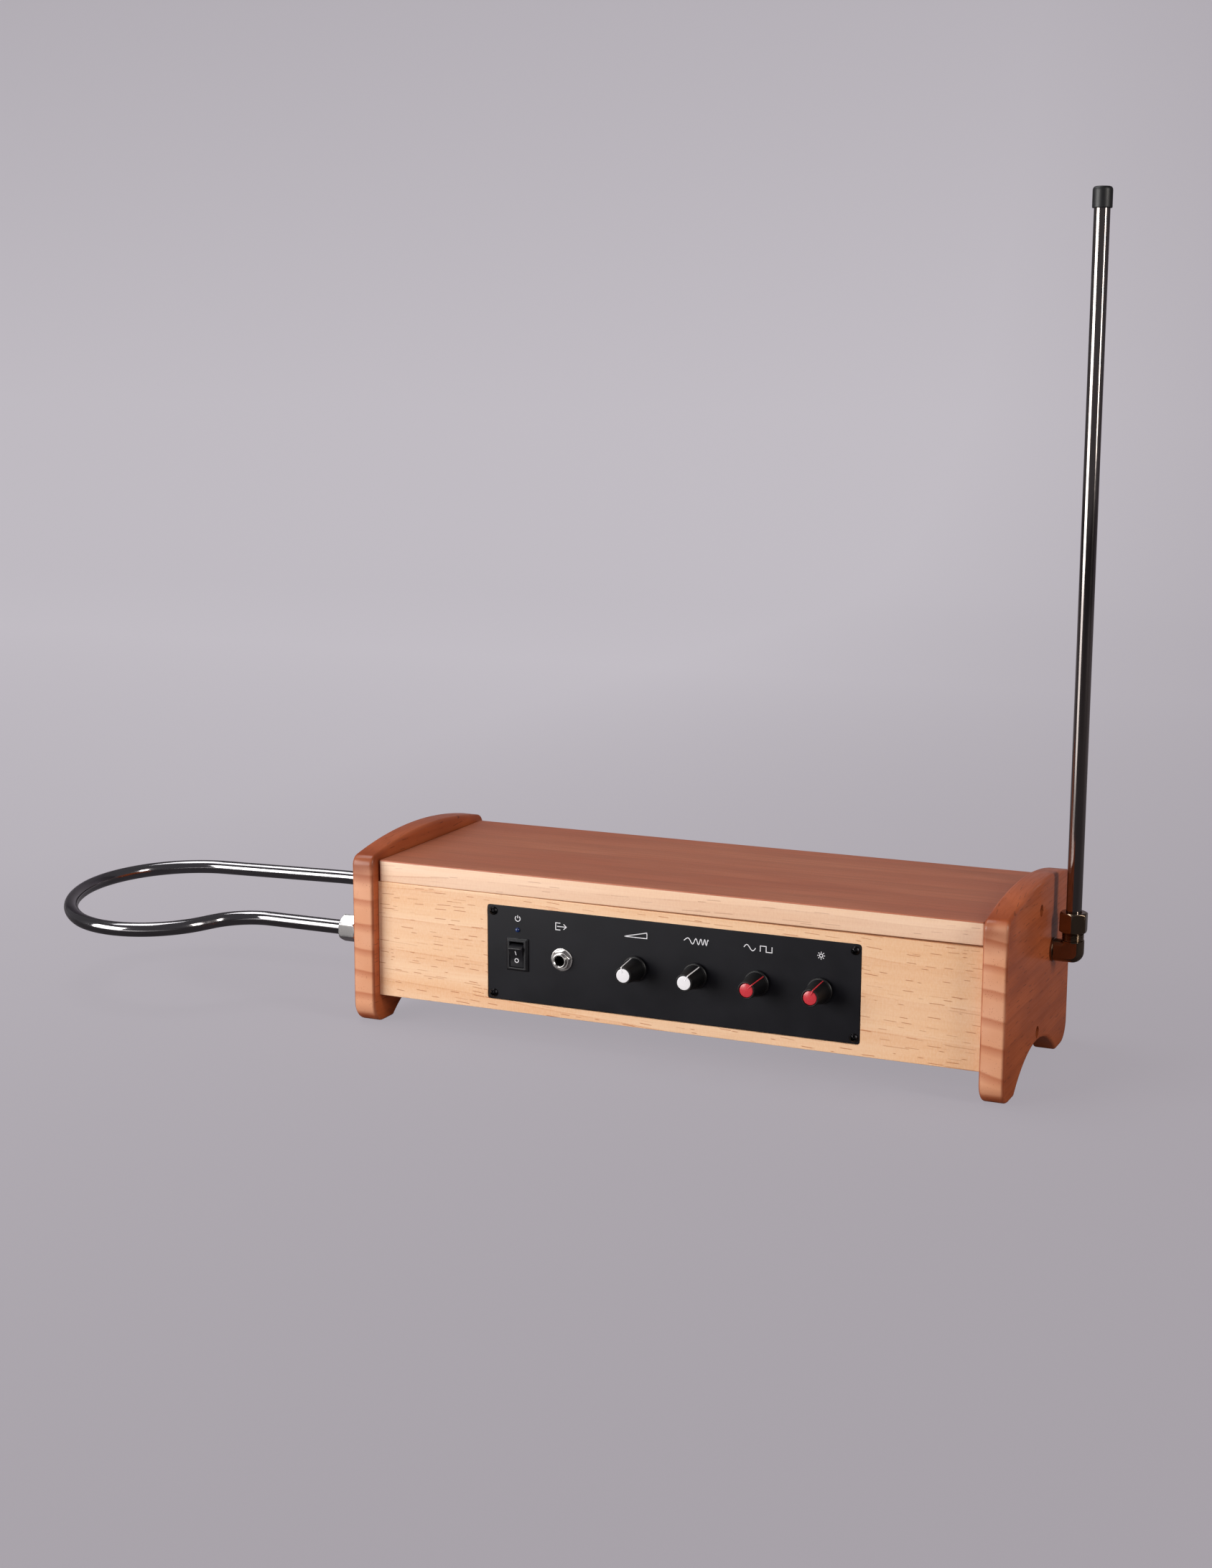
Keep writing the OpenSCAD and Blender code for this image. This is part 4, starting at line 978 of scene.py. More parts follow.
@dataclass(frozen=True)
class Metal(Finish):
    """Bare or plated metal: fine lines one way and duller patches.

    Attributes:
        shade: Colour of the duller patches.
        lines_mm: Length of the lines along X, Y and Z.
        depth_mm: Depth of the lines.
    """

    metallic: float = 1.0
    shade: str = "#8A8A8E"
    lines_mm: tuple[float, float, float] = (0.3, 0.3, 9.0)
    depth_mm: float = 0.002

    def draw(self, pen: Pen, shader: bpy.types.Node) -> None:
        """Dulls the plating in patches and draws fine lines along the way it was polished."""
        patch = pen.grain((14, 14, 30), 4, 0.45, 0.8)
        lines = pen.grain(self.lines_mm, 2, 0.3, 0.7)
        colour = pen.mix(patch, self.colour, self.shade, 0.4)
        dull = pen.sum("MULTIPLY_ADD", lines, 0.35, patch)
        rough = pen.span(dull, 0, 1.35, (self.roughness, self.roughness + 0.09))
        relief = pen.relief(lines, self.depth_mm)
        self.join(pen, shader, Base_Color=colour, Roughness=rough, Normal=relief)


@dataclass(frozen=True)
class PaleTimber(Finish):
    """Lacquered pine board with its grain along X; where the mark is 1 it is stained.

    Attributes:
        warm: Colour of its darker growth, and of the painted shade towards the boards' right end.
        streak: Colour of the soft streaks.
        dash: Colour of the short resin dashes.
        stain: Colour of the stain.
        share: Share of the places for a dash that hold one.
        lean: Slope of the grain, in degrees.
        ring_mm: Distance between growth rings.
    """

    warm: str = "#E9B280"
    streak: str = "#DB9C6E"
    dash: str = "#B0602F"
    stain: str = "#AE6145"
    share: float = 0.55
    lean: float = 2.4
    ring_mm: float = 21.0

    def draw(self, pen: Pen, shader: bpy.types.Node) -> None:
        """Lays growth rings, streaks, resin dashes, stain and painted shade towards the right end
        over each other.
        """
        along, across = pen.lay(self.lean, 13.0)
        phase = pen.sum("FRACT", pen.sum("DIVIDE", across, self.ring_mm))
        band = pen.span(phase, 0.4, 1.0)
        broken = pen.grain((38, 38, 38), 1, 0.42, 0.6)
        line = pen.sum("MULTIPLY", pen.span(phase, 0.95, 0.985), broken)
        growth = pen.grain((170, 40, 14), 3, 0.36, 0.66)
        fine = pen.grain((60, 3, 0.8), 2, 0.42, 0.75)
        mottle = pen.grain((1.1, 1.1, 2.2), 2, 0.35, 0.68)
        # Resin canals show as dashes 3 to 12 mm long and about 0.4 mm thick
        dash = pen.strokes(along, across, (13.0, 2.7), (1.2, 5.5), 0.17, self.share)
        long_dash = pen.strokes(along, across, (34.0, 7.0), (3.0, 11.0), 0.2, 0.5)
        # Painted shade: the span along X from 60 to 340 mm makes the boards warmer and darker
        # towards their right end, away from the left lamp
        wood = pen.layered(
            self.colour, (growth, self.warm, 0.65), (pen.span(along, 60, 340), self.warm, 0.35),
            (band, self.streak, 0.24), (line, self.streak, 0.6), (fine, self.streak, 0.2),
            (mottle, "#FBE0C2", 0.2), (long_dash, self.dash, 0.42), (dash, self.dash, 0.75),
        )
        stained = pen.layered(
            self.stain, (growth, "#C0795A", 0.6), (fine, "#8C4B34", 0.45),
            (band, "#93523A", 0.35), (mottle, "#C08261", 0.25), (dash, "#743E2B", 0.55),
        )
        wood = pen.mix(pen.mark(), wood, stained)
        height = pen.sum("MULTIPLY_ADD", dash, -1.0, pen.sum("MULTIPLY", mottle, 0.3))
        rough = pen.span(mottle, 0, 1, (self.roughness - 0.04, self.roughness + 0.07))
        self.join(pen, shader, Base_Color=wood, Roughness=rough, Normal=pen.relief(height, 0.012))


@dataclass(frozen=True)
class StainedTimber(Finish):
    """Stained and lacquered pine, its grain along Y and its end grain where the mark is 1.

    Attributes:
        deep: Colour of the darker stain.
        pore: Colour of the pores.
        end: Colour of the end grain.
        ring: Colour of the end grain's growth rings.
        ring_mm: Height of one growth ring.
        corner: Distance of a top corner from the middle and its height over the box's foot, in mm.
    """

    corner: tuple[float, float] = (75.0, 90.0)
    deep: str = "#974A2A"
    pore: str = "#54261A"
    end: str = "#E0A582"
    ring: str = "#AE5C38"
    ring_mm: float = 16.0

    def draw(self, pen: Pen, shader: bpy.types.Node) -> None:
        """Cuts one block of rings, so that a side shows streaks and an end shows bands."""
        x, y, z = pen.in_mm()
        bend = pen.grain((60, 120, 60), 1, 0.0, 1.0)
        across = pen.sum("MULTIPLY_ADD", bend, 14.0, pen.sum("MULTIPLY_ADD", x, 0.12, z))
        phase = pen.sum("FRACT", pen.sum("DIVIDE", across, self.ring_mm))
        ring = pen.sum("MULTIPLY", pen.span(phase, 0.6, 0.9), pen.span(phase, 1.0, 0.93))
        fibre = pen.grain((1.8, 60, 1.3), 3, 0.4, 0.72)
        dash = pen.strokes(y, pen.sum("ADD", across, x), (14.0, 3.0), (1.2, 5.0), 0.18, 0.5)
        blotch = pen.grain((30, 70, 24), 2, 0.35, 0.68)
        crowd = pen.grain((9, 9, 4), 1, 0.42, 0.6)
        dots = pen.sum("MULTIPLY", pen.span(pen.cells(1.3, 1.3, 1.3), 0.24, 0.12), crowd)
        side = pen.layered(
            self.colour, (blotch, self.deep, 0.7), (fibre, self.deep, 0.25),
            (ring, self.deep, 0.4), (dash, self.pore, 0.7),
        )
        end = pen.layered(
            self.end, (blotch, "#D28B5F", 0.5), (ring, self.ring, 0.6), (dots, "#A05A38", 0.6)
        )
        mark = pen.mark()
        wood = pen.mix(mark, side, end)
        # Stain gathers where the end grain turns into the long grain, and at the top corners
        turn = pen.sum("MULTIPLY", mark, pen.sum("SUBTRACT", 1.0, mark))
        from_middle = pen.sum("ABSOLUTE", pen.sum("SUBTRACT", y, float(CORNER[1]) + BOX_D / 2))
        gap_y = pen.sum("SUBTRACT", from_middle, self.corner[0])
        gap_z = pen.sum("SUBTRACT", z, float(CORNER[2]) + self.corner[1])
        squares = pen.sum("MULTIPLY_ADD", gap_y, gap_y, pen.sum("MULTIPLY", gap_z, gap_z))
        far = pen.sum("SQRT", squares)
        gathered = pen.sum("MAXIMUM", pen.span(turn, 0.04, 0.25), pen.span(far, 19, 6))
        gathered = pen.sum("MULTIPLY", gathered, pen.span(blotch, -0.7, 0.6))
        wood = pen.mix(gathered, wood, "#84391B", 0.8)
        wood = pen.mix(pen.span(z, 14, 1), wood, "#A9562D", 0.5)
        relief = pen.relief(pen.sum("SUBTRACT", fibre, dash), 0.012)
        rough = pen.span(fibre, 0, 1, (self.roughness - 0.03, self.roughness + 0.06))
        self.join(pen, shader, Base_Color=wood, Roughness=rough, Normal=relief)


@dataclass(frozen=True)
class Lens(Finish):
    """Tinted clear resin of a lamp: deep colour, lighter towards its rim."""

    def draw(self, pen: Pen, shader: bpy.types.Node) -> None:
        """Lightens the rim, where the eye looks through less resin."""
        rim = add_node(pen.tree, "LayerWeight", {"Blend": 0.35}).outputs["Facing"]
        cloud = pen.grain((1.2, 1.2, 1.2), 2, 0.3, 0.7)
        colour = pen.mix(pen.sum("MULTIPLY", rim, cloud), self.colour, "#3E63A8", 0.6)
        self.join(pen, shader, Base_Color=colour)


@dataclass(frozen=True)
class Ribbed(Finish):
    """Flat ribbon cable: round wires side by side along X, one of them marked red."""

    def draw(self, pen: Pen, shader: bpy.types.Node) -> None:
        """Bands across the cable, 1.27 mm apart."""
        across = add_node(pen.tree, "SeparateXYZ", {0: pen.spot}).outputs["X"]
        wave = pen.sum("SINE", pen.sum("MULTIPLY", across, 2 * math.pi / (1.27 * MM)))
        band = pen.span(wave, -1, 1)
        colour = pen.mix(band, "#5B5D61", self.colour)
        self.join(pen, shader, Base_Color=colour, Normal=pen.relief(band, 0.25))


@dataclass(frozen=True)
class Board(Finish):
    """Circuit board: green solder mask over copper tracks, with fine glass cloth."""

    def draw(self, pen: Pen, shader: bpy.types.Node) -> None:
        """Draws tracks as the edges of square cells, a shade lighter than the mask."""
        track = pen.span(pen.cells(4, 4, 4, distance="CHEBYCHEV"), 0.36, 0.42)
        cloth = pen.grain((0.4, 0.4, 0.4), 1, 0.3, 0.7)
        colour = pen.mix(track, self.colour, "#3C7A52", 0.8)
        height = pen.sum("MULTIPLY_ADD", cloth, 0.2, track)
        self.join(pen, shader, Base_Color=colour, Normal=pen.relief(height, 0.035))


@dataclass(frozen=True)
class Paper(Finish):
    """Seamless backdrop paper: matt, with painted shade that darkens it towards the front, the top
    and the right, so it is lightest behind the instrument.

    Attributes:
        glow: Share of its own colour that the camera sees at full strength.
        near: Colour of the painted shade on the floor in front.
        high: Colour of the painted shade on the wall's upper part.
        aside: Colour of the painted shade on the wall towards the right.
    """

    glow: float = 0.85
    near: str = "#ABA6AD"
    high: str = "#B6B1B8"
    aside: str = "#A59FA6"

    def draw(self, pen: Pen, shader: bpy.types.Node) -> None:
        """Mixes plain colour with the lit paper, so that it looks even and keeps a shadow; metal
        sees in it a painted reflection of a dark floor with a glowing white wedge.
        """
        x, y, z = add_node(pen.tree, "SeparateXYZ", {0: pen.spot}).outputs
        # Painted shade: the paper darkens towards the front, the top and the right
        colour = pen.mix(pen.span(y, 1.6, -0.9), self.colour, self.near)
        colour = pen.mix(pen.span(z, 0.3, 1.7), colour, self.high)
        colour = pen.mix(pen.span(x, -0.6, 0.5), colour, self.aside, 0.7)
        self.join(pen, shader, Base_Color=colour)
        rays = add_node(pen.tree, "LightPath").outputs
        share = pen.sum("MULTIPLY", rays["Is Camera Ray"], self.glow)
        plain = add_node(pen.tree, "Emission", {"Color": colour}).outputs[0]
        seen = add_node(pen.tree, "MixShader", {0: share, 1: shader.outputs[0], 2: plain})
        # Painted reflection: glossy rays see the floor in front as a dark tone that is not in the
        # scene, so metal mirrors little from there
        front = pen.sum("MULTIPLY", rays["Is Glossy Ray"], pen.span(y, 1.4, -0.1, (0.0, 0.85)))
        # Painted reflection: glossy rays also see a glowing white wedge on the floor that widens
        # from under the rod towards the left lamp; the numbers turn X and Y by 45 degrees about the
        # rod
        reach = pen.sum("MULTIPLY_ADD", x, -0.707, pen.sum("MULTIPLY_ADD", y, -0.707, 0.255))
        off = pen.sum("MULTIPLY_ADD", x, -0.707, pen.sum("MULTIPLY_ADD", y, 0.707, 0.219))
        width = pen.sum("DIVIDE", pen.sum("ABSOLUTE", off), reach)
        painted_glint_wedge = pen.sum("MULTIPLY", pen.span(width, 0.3, 0.22), pen.span(reach, 0.4, 0.9))
        force = pen.span(painted_glint_wedge, 0, 1, (1, 3))
        tone = {"Color": pen.mix(painted_glint_wedge, "#1E1B1C", "#FFFCFA"), "Strength": force}
        painted_reflection = add_node(pen.tree, "Emission", tone)
        both = {0: front, 1: seen.outputs[0], 2: painted_reflection.outputs[0]}
        surface = add_node(pen.tree, "MixShader", both).outputs[0]
        pen.tree.links.new(surface, pen.tree.nodes["Material Output"].inputs["Surface"])


# Pine boards under satin lacquer: straw, with red-brown dashes of resin
PINE = PaleTimber("lacquered_pine", "#F4CEA8", 0.42, coat=0.12, coat_roughness=0.25, mirror=0.35)
# The lid is a paler board, stained on its top only
LID_PINE = PaleTimber(
    "lid_pine", "#F6D5B8", 0.42, coat=0.1, coat_roughness=0.22, mirror=0.3, warm="#EFC4A0",
    streak="#D8A483", dash="#A96A50", share=0.22, lean=-0.5, ring_mm=27.0,
)
# Cheeks of pine under red-brown stain and a thin lacquer
STAINED_PINE = StainedTimber(
    "stained_pine", "#BC6238", 0.36, coat=0.18, coat_roughness=0.1, mirror=0.22
)
# Sprayed aluminium plate: nearly black with a soft sheen and a fine orange peel
PANEL_PAINT = Moulded(
    "satin_panel_paint", "#121217", 0.4, mirror=0.26, shade="#191920", grain_mm=0.5
)
# White and grey screen print stands 0.04 mm off the paint
SCREEN_PRINT = Moulded("white_screen_print", "#E9E9EC", 0.5, shade="#CFCFD4", grain_mm=0.2)
# Nylon and ABS, moulded: black with a dull sheen
BLACK_ABS = Moulded("black_abs", "#141416", 0.4, shade="#1E1E21", grain_mm=0.25)
KNOB_ABS = Moulded(
    "knob_abs", "#0B0B0D", 0.42, mirror=0.4, shade="#141417", grain_mm=0.2, depth_mm=0.006
)
SWITCH_ABS = Moulded("switch_abs", "#17171A", 0.3, shade="#202024", grain_mm=0.2, depth_mm=0.005)
WHITE_ABS = Moulded("white_abs", "#F1F0F2", 0.28, coat=0.2, shade="#E3E2E6", depth_mm=0.003)
RED_ABS = Moulded("red_abs", "#D03A42", 0.26, coat=0.25, shade="#B82C36", depth_mm=0.003)
# Vinyl cap of the rod: black, softer shine
VINYL = Moulded("black_vinyl", "#18181A", 0.45, shade="#232327", grain_mm=0.4)
BLUE_RESIN = Lens("blue_resin", "#0E2558", 0.08, coat=0.6, coat_roughness=0.03)
# Chrome plate on brass tube, buffed along its length
CHROME = Metal("chrome_plate", "#938C89", 0.09, shade="#7D7470", lines_mm=(0.4, 0.4, 16))
CHROME_ALONG_X = Metal("buffed_chrome", "#939194", 0.1, shade="#7A7776", lines_mm=(16, 0.4, 0.4))
BRIGHT_NICKEL = Metal("bright_nickel", "#E6E4E2", 0.2, shade="#BDBAB6", lines_mm=(0.5, 0.5, 0.5))
# Dark nickel on brass fittings: a warm grey mirror
DARK_NICKEL = Metal("dark_nickel", "#857462", 0.14, shade="#5E4A38", lines_mm=(0.5, 0.5, 3))
BRASS = Metal("turned_brass", "#C9A25A", 0.22, shade="#A07C3E", lines_mm=(6, 6, 0.3))
ZINC = Metal("zinc_plated_steel", "#B9BABC", 0.3, shade="#8E8F93", lines_mm=(0.8, 0.8, 0.8))
# Blackened steel of the small screws
BLACK_STEEL = Metal("black_oxide_steel", "#2B2A2C", 0.33, shade="#1B1A1C", lines_mm=(0.6, 0.6, 0.6))
# Cast flange under sprayed enamel
ENAMEL = Moulded("black_enamel", "#1A1A1C", 0.38, shade="#27272A", grain_mm=1.1, depth_mm=0.03)
SOLDER_MASK = Board("solder_mask", "#1F5A37", 0.35, coat=0.2)
RIBBON_VINYL = Ribbed("ribbon_vinyl", "#9A9CA0", 0.5)
CHOKE_WIRE = Metal("enamelled_wire", "#8A4A22", 0.3, shade="#5E2F14", lines_mm=(12, 0.35, 12))
SLEEVE = Moulded("shrink_sleeve", "#14264F", 0.25, shade="#0C1836")
FIN_METAL = Moulded("black_anodised", "#1C1C1E", 0.45, shade="#29292C")
TERMINAL = Moulded("terminal_nylon", "#2A6A86", 0.45, shade="#1F5268")
RED_VINYL = Moulded("red_wire_vinyl", "#B0302A", 0.4, shade="#8E241F")
BLACK_VINYL = Moulded("black_wire_vinyl", "#222226", 0.42, shade="#151517")


# ---- The instrument ----


@dataclass
class Cabinet:
    """Four boards of the box.

    Attributes:
        board_ease: Radius of the boards' edges.
        lid_ease: Radius of the lid's edges.
        seam_open: How much lower the front board is at its right end.
        lid_gap: Gap between the lid and each cheek.
        floor_t: Thickness of the floor.
        ledge: Width of the wood that the control panel lies on, all round.
        pocket_depth: Depth of the pocket for the control panel.
        pocket_play: Room between the pocket and the control panel, on both sides together.
    """

    board_ease: float = 0.5
    lid_ease: float = 0.9
    seam_open: float = 1.2
    lid_gap: float = 1.0
    floor_t: float = 14.0
    ledge: float = 8.0
    pocket_depth: float = 2.4
    pocket_play: float = 0.7

    def front_board(self) -> None:
        """Builds the front wall with the pocket of the control panel."""
        width, height = ControlPanel.width, ControlPanel.height
        middle = (ControlPanel.left + width / 2, ROW_Z)
        window = rectangle(width - 2 * self.ledge, height - 2 * self.ledge, 0.3)
        play = self.pocket_play
        pocket = rectangle(width + play, height + play, ControlPanel.corner_r + play / 2)
        shelf = FRONT_WALL - self.pocket_depth
        steps = ((window, 0.0), (window, shelf), (pocket, shelf), (pocket, FRONT_WALL))
        hole = np.stack([lifted(loop + middle, level) for loop, level in steps])
        outline = np.array([(0, 0), (BOX_W, 0), (BOX_W, WALL_H - self.seam_open), (0, WALL_H)])
        skin = Skin()
        place = Place((0, FRONT_WALL, 0), Facing.FRONT)
        add_plate(skin, outline, FRONT_WALL, self.board_ease, place, [hole])
        skin.settle("front_wall", "cabinet", [PINE], ["front_board"])

    def back_board(self) -> None:
        """Builds the back wall with the hole of the power inlet."""
        outline = np.array([(0, 0), (BOX_W, 0), (BOX_W, WALL_H), (0, WALL_H)])
        hole = bore(PowerInlet.x, ROW_Z, [(5.6, 0), (5.6, FRONT_WALL)])
        skin = Skin()
        place = Place((0, BOX_D, 0), Facing.FRONT)
        add_plate(skin, outline, FRONT_WALL, self.board_ease, place, [hole])
        skin.settle("back_wall", "cabinet", [PINE], ["back_board"])

    def floor_board(self) -> None:
        """Builds the floor with the hole of the stand flange."""
        depth = BOX_D - 2 * FRONT_WALL
        outline = np.array([(0, 0), (BOX_W, 0), (BOX_W, depth), (0, depth)])
        hole = bore(BOX_W / 2, depth / 2, [(11.1, 0), (11.1, 7.1), (0.02, 7.1)])
        skin = Skin()
        place = Place((0, FRONT_WALL, 0))
        levels = edge_steps(self.floor_t, self.board_ease)
        stack = np.stack([lifted(inset(outline, d), z) for d, z in levels])
        skin.loft(stack, place)
        skin.loft(hole, place)
        skin.cap(stack[0][:, :2], 0.0, [hole[0][:, :2]], place)
        skin.cap(stack[-1][:, :2], self.floor_t, (), place)
        skin.settle("floor_panel", "cabinet", [PINE], ["floor_board"])

    def lid(self) -> None:
        """Builds the lid, stained on its top."""
        width = BOX_W - 2 * self.lid_gap
        outline = rectangle(width, BOX_D, 1.5) + (BOX_W / 2, BOX_D / 2)
        skin = Skin()
        add_plate(skin, outline, LID_T, self.lid_ease, Place((0, 0, WALL_H)), top_mark=1.0)
        skin.settle("lid_panel", "cabinet", [LID_PINE], ["lid"])

    def build(self) -> None:
        """Builds the four boards."""
        self.front_board()
        self.back_board()
        self.floor_board()
        self.lid()


@dataclass
class Cheek:
    """One shaped end board.

    Attributes:
        left: Whether it is the left one.
        over: How far it stands out before and behind the box.
        foot_h: How far its feet reach below the box.
        foot_r: Radius of the feet.
        crown_z: Height of the crown's middle over the box's foot.
        crown_r: Radius of the crown.
        corner_r: Radius of the top corners.
        arch_r: Radius of the arch between the feet.
        arch_lift: Height of the arch's middle over the box's foot.
        ease: Radius of the edges.
        screw_z: Heights of the two screws.
        sink: Depth of the screws' recesses.
    """

    left: bool
    over: float = 7.5
    foot_h: float = 18.5
    foot_r: float = 14.0
    crown_z: float = 100.4
    crown_r: float = 362.0
    corner_r: float = 7.0
    arch_r: float = 81.0
    arch_lift: float = 0.8
    ease: float = 2.2
    screw_z: tuple[float, float] = (7.0, 82.5)
    sink: float = 3.46

    def outline(self) -> np.ndarray:
        """Outline in the box's Y and Z: two feet, an arch between them and a low crown.

        Returns:
            Its points, counter-clockwise.
        """
        middle, half = BOX_D / 2, BOX_D / 2 + self.over
        corner, foot = half - self.corner_r, half - self.foot_r
        crown = self.crown_z - self.crown_r
        corner_z = crown + math.sqrt((self.crown_r - self.corner_r) ** 2 - corner**2)
        arch = self.arch_lift - self.arch_r
        spring = math.degrees(math.asin((-self.foot_h - arch) / self.arch_r))
        tilt = 90 - math.degrees(math.asin(corner / (self.crown_r - self.corner_r)))
        foot_z = self.foot_r - self.foot_h
        points = np.concatenate(
            [
                arc((-foot, foot_z), self.foot_r, 180, 270, 14),
                arc((0, arch), self.arch_r, 180 - spring, spring, 60),
                arc((foot, foot_z), self.foot_r, 270, 360, 14),
                arc((corner, corner_z), self.corner_r, 0, tilt, 12),
                arc((0, crown), self.crown_r, tilt, 180 - tilt, 60),
                arc((-corner, corner_z), self.corner_r, 180 - tilt, 180, 12),
            ]
        )
        return cleaned(points) + (middle, 0.0)

    def build(self) -> None:
        """Builds the board with the bores of its screws and fittings."""
        profile = [(3.7, 0), (3.7, self.sink), (2.1, self.sink), (2.1, CHEEK_T)]
        if not self.left:
            profile = [(r, CHEEK_T - h) for r, h in profile[::-1]]
        holes = [bore(BOX_D / 2, z, profile) for z in self.screw_z]
        fittings = [(17.08, 37.33), (124.92, 43.07)] if self.left else [(102.0, 51.5)]
        holes += [bore(y, z, [(6.1, 0), (6.1, CHEEK_T)]) for y, z in fittings]
        at = (-CHEEK_T, 0, 0) if self.left else (BOX_W, 0, 0)
        skin = Skin()
        place = Place(at, Facing.ACROSS)
        add_plate(skin, self.outline(), CHEEK_T, self.ease, place, holes, end_axis=0)
        side = "left" if self.left else "right"
        skin.settle(
            f"{side}_end_board", "cabinet", [STAINED_PINE], [f"{side}_cheek"]
        )


def cheek_screws() -> None:
    """Builds the four screws through the cheeks, sunk in their bores."""
    skin = Skin()
    seat = CHEEK_T - Cheek.sink
    sides = ((-seat, Facing.LEFT, 20.0), (BOX_W + seat, Facing.RIGHT, 35.0))
    for z in Cheek.screw_z:
        for x, facing, turn in sides:
            add_cross_screw(skin, 7.0, 4.0, 34.0, Place((x, BOX_D / 2, z), facing, turn))
    skin.settle("cheek_screw_set", "cabinet", [BLACK_STEEL], ["cheek_screws"])


@dataclass
class StandFlange:
    """Threaded flange under the floor that takes a stand's tube.

    Attributes:
        flange_d: Diameter of the flange.
        flange_t: Thickness of the flange.
        boss_d: Diameter of the boss below it.
        boss_h: Height of the boss.
        neck_h: Length of the neck that reaches into the floor.
        thread_r: Inner radius of the thread.
        thread_pitch: Rise of the thread in one turn: 27 turns to the inch.
    """

    flange_d: float = 60.0
    flange_t: float = 3.0
    boss_d: float = 25.0
    boss_h: float = 8.0
    neck_h: float = 7.0
    thread_r: float = 7.43
    thread_pitch: float = 0.94

    def build(self) -> None:
        """Builds the flange with its inner thread, and its four screws."""
        low = self.flange_t + self.boss_h
        r = self.thread_r
        turns = np.linspace(low - 0.8, -self.neck_h + 0.4, 180)
        wave = r + 0.22 - 0.22 * np.cos(2 * np.pi * turns / self.thread_pitch)
        outer = rounded(
            [(r + 0.9, low), (self.boss_d / 2, low), (self.boss_d / 2, self.flange_t),
             (self.flange_d / 2, self.flange_t), (self.flange_d / 2, 0), (11, 0),
             (11, -self.neck_h), (r + 0.4, -self.neck_h)],
            [0, 0.8, 1.2, 0.9, 0.2, 0, 0.3, 0],
        )
        inner = np.stack([wave, turns], -1)[::-1]
        skin = Skin()
        place = Place((BOX_W / 2, BOX_D / 2, 0), Facing.DOWN)
        skin.turned(np.concatenate([outer, inner]), place, 96, ring_rows=True)
        skin.settle("flange", "cabinet", [ENAMEL], ["stand_flange"], 50)
        screws = Skin()
        ring = (self.flange_d + self.boss_d) / 4
        for a in np.radians([45, 135, 225, 315]):
            at = (BOX_W / 2 + ring * math.cos(a), BOX_D / 2 + ring * math.sin(a), -self.flange_t)
            add_cross_screw(screws, 6.65, 3.5, 12.0, Place(at, Facing.DOWN, math.degrees(a)))
        screws.settle(
            "flange_screw_set", "cabinet", [BLACK_STEEL], ["flange_screws"]
        )


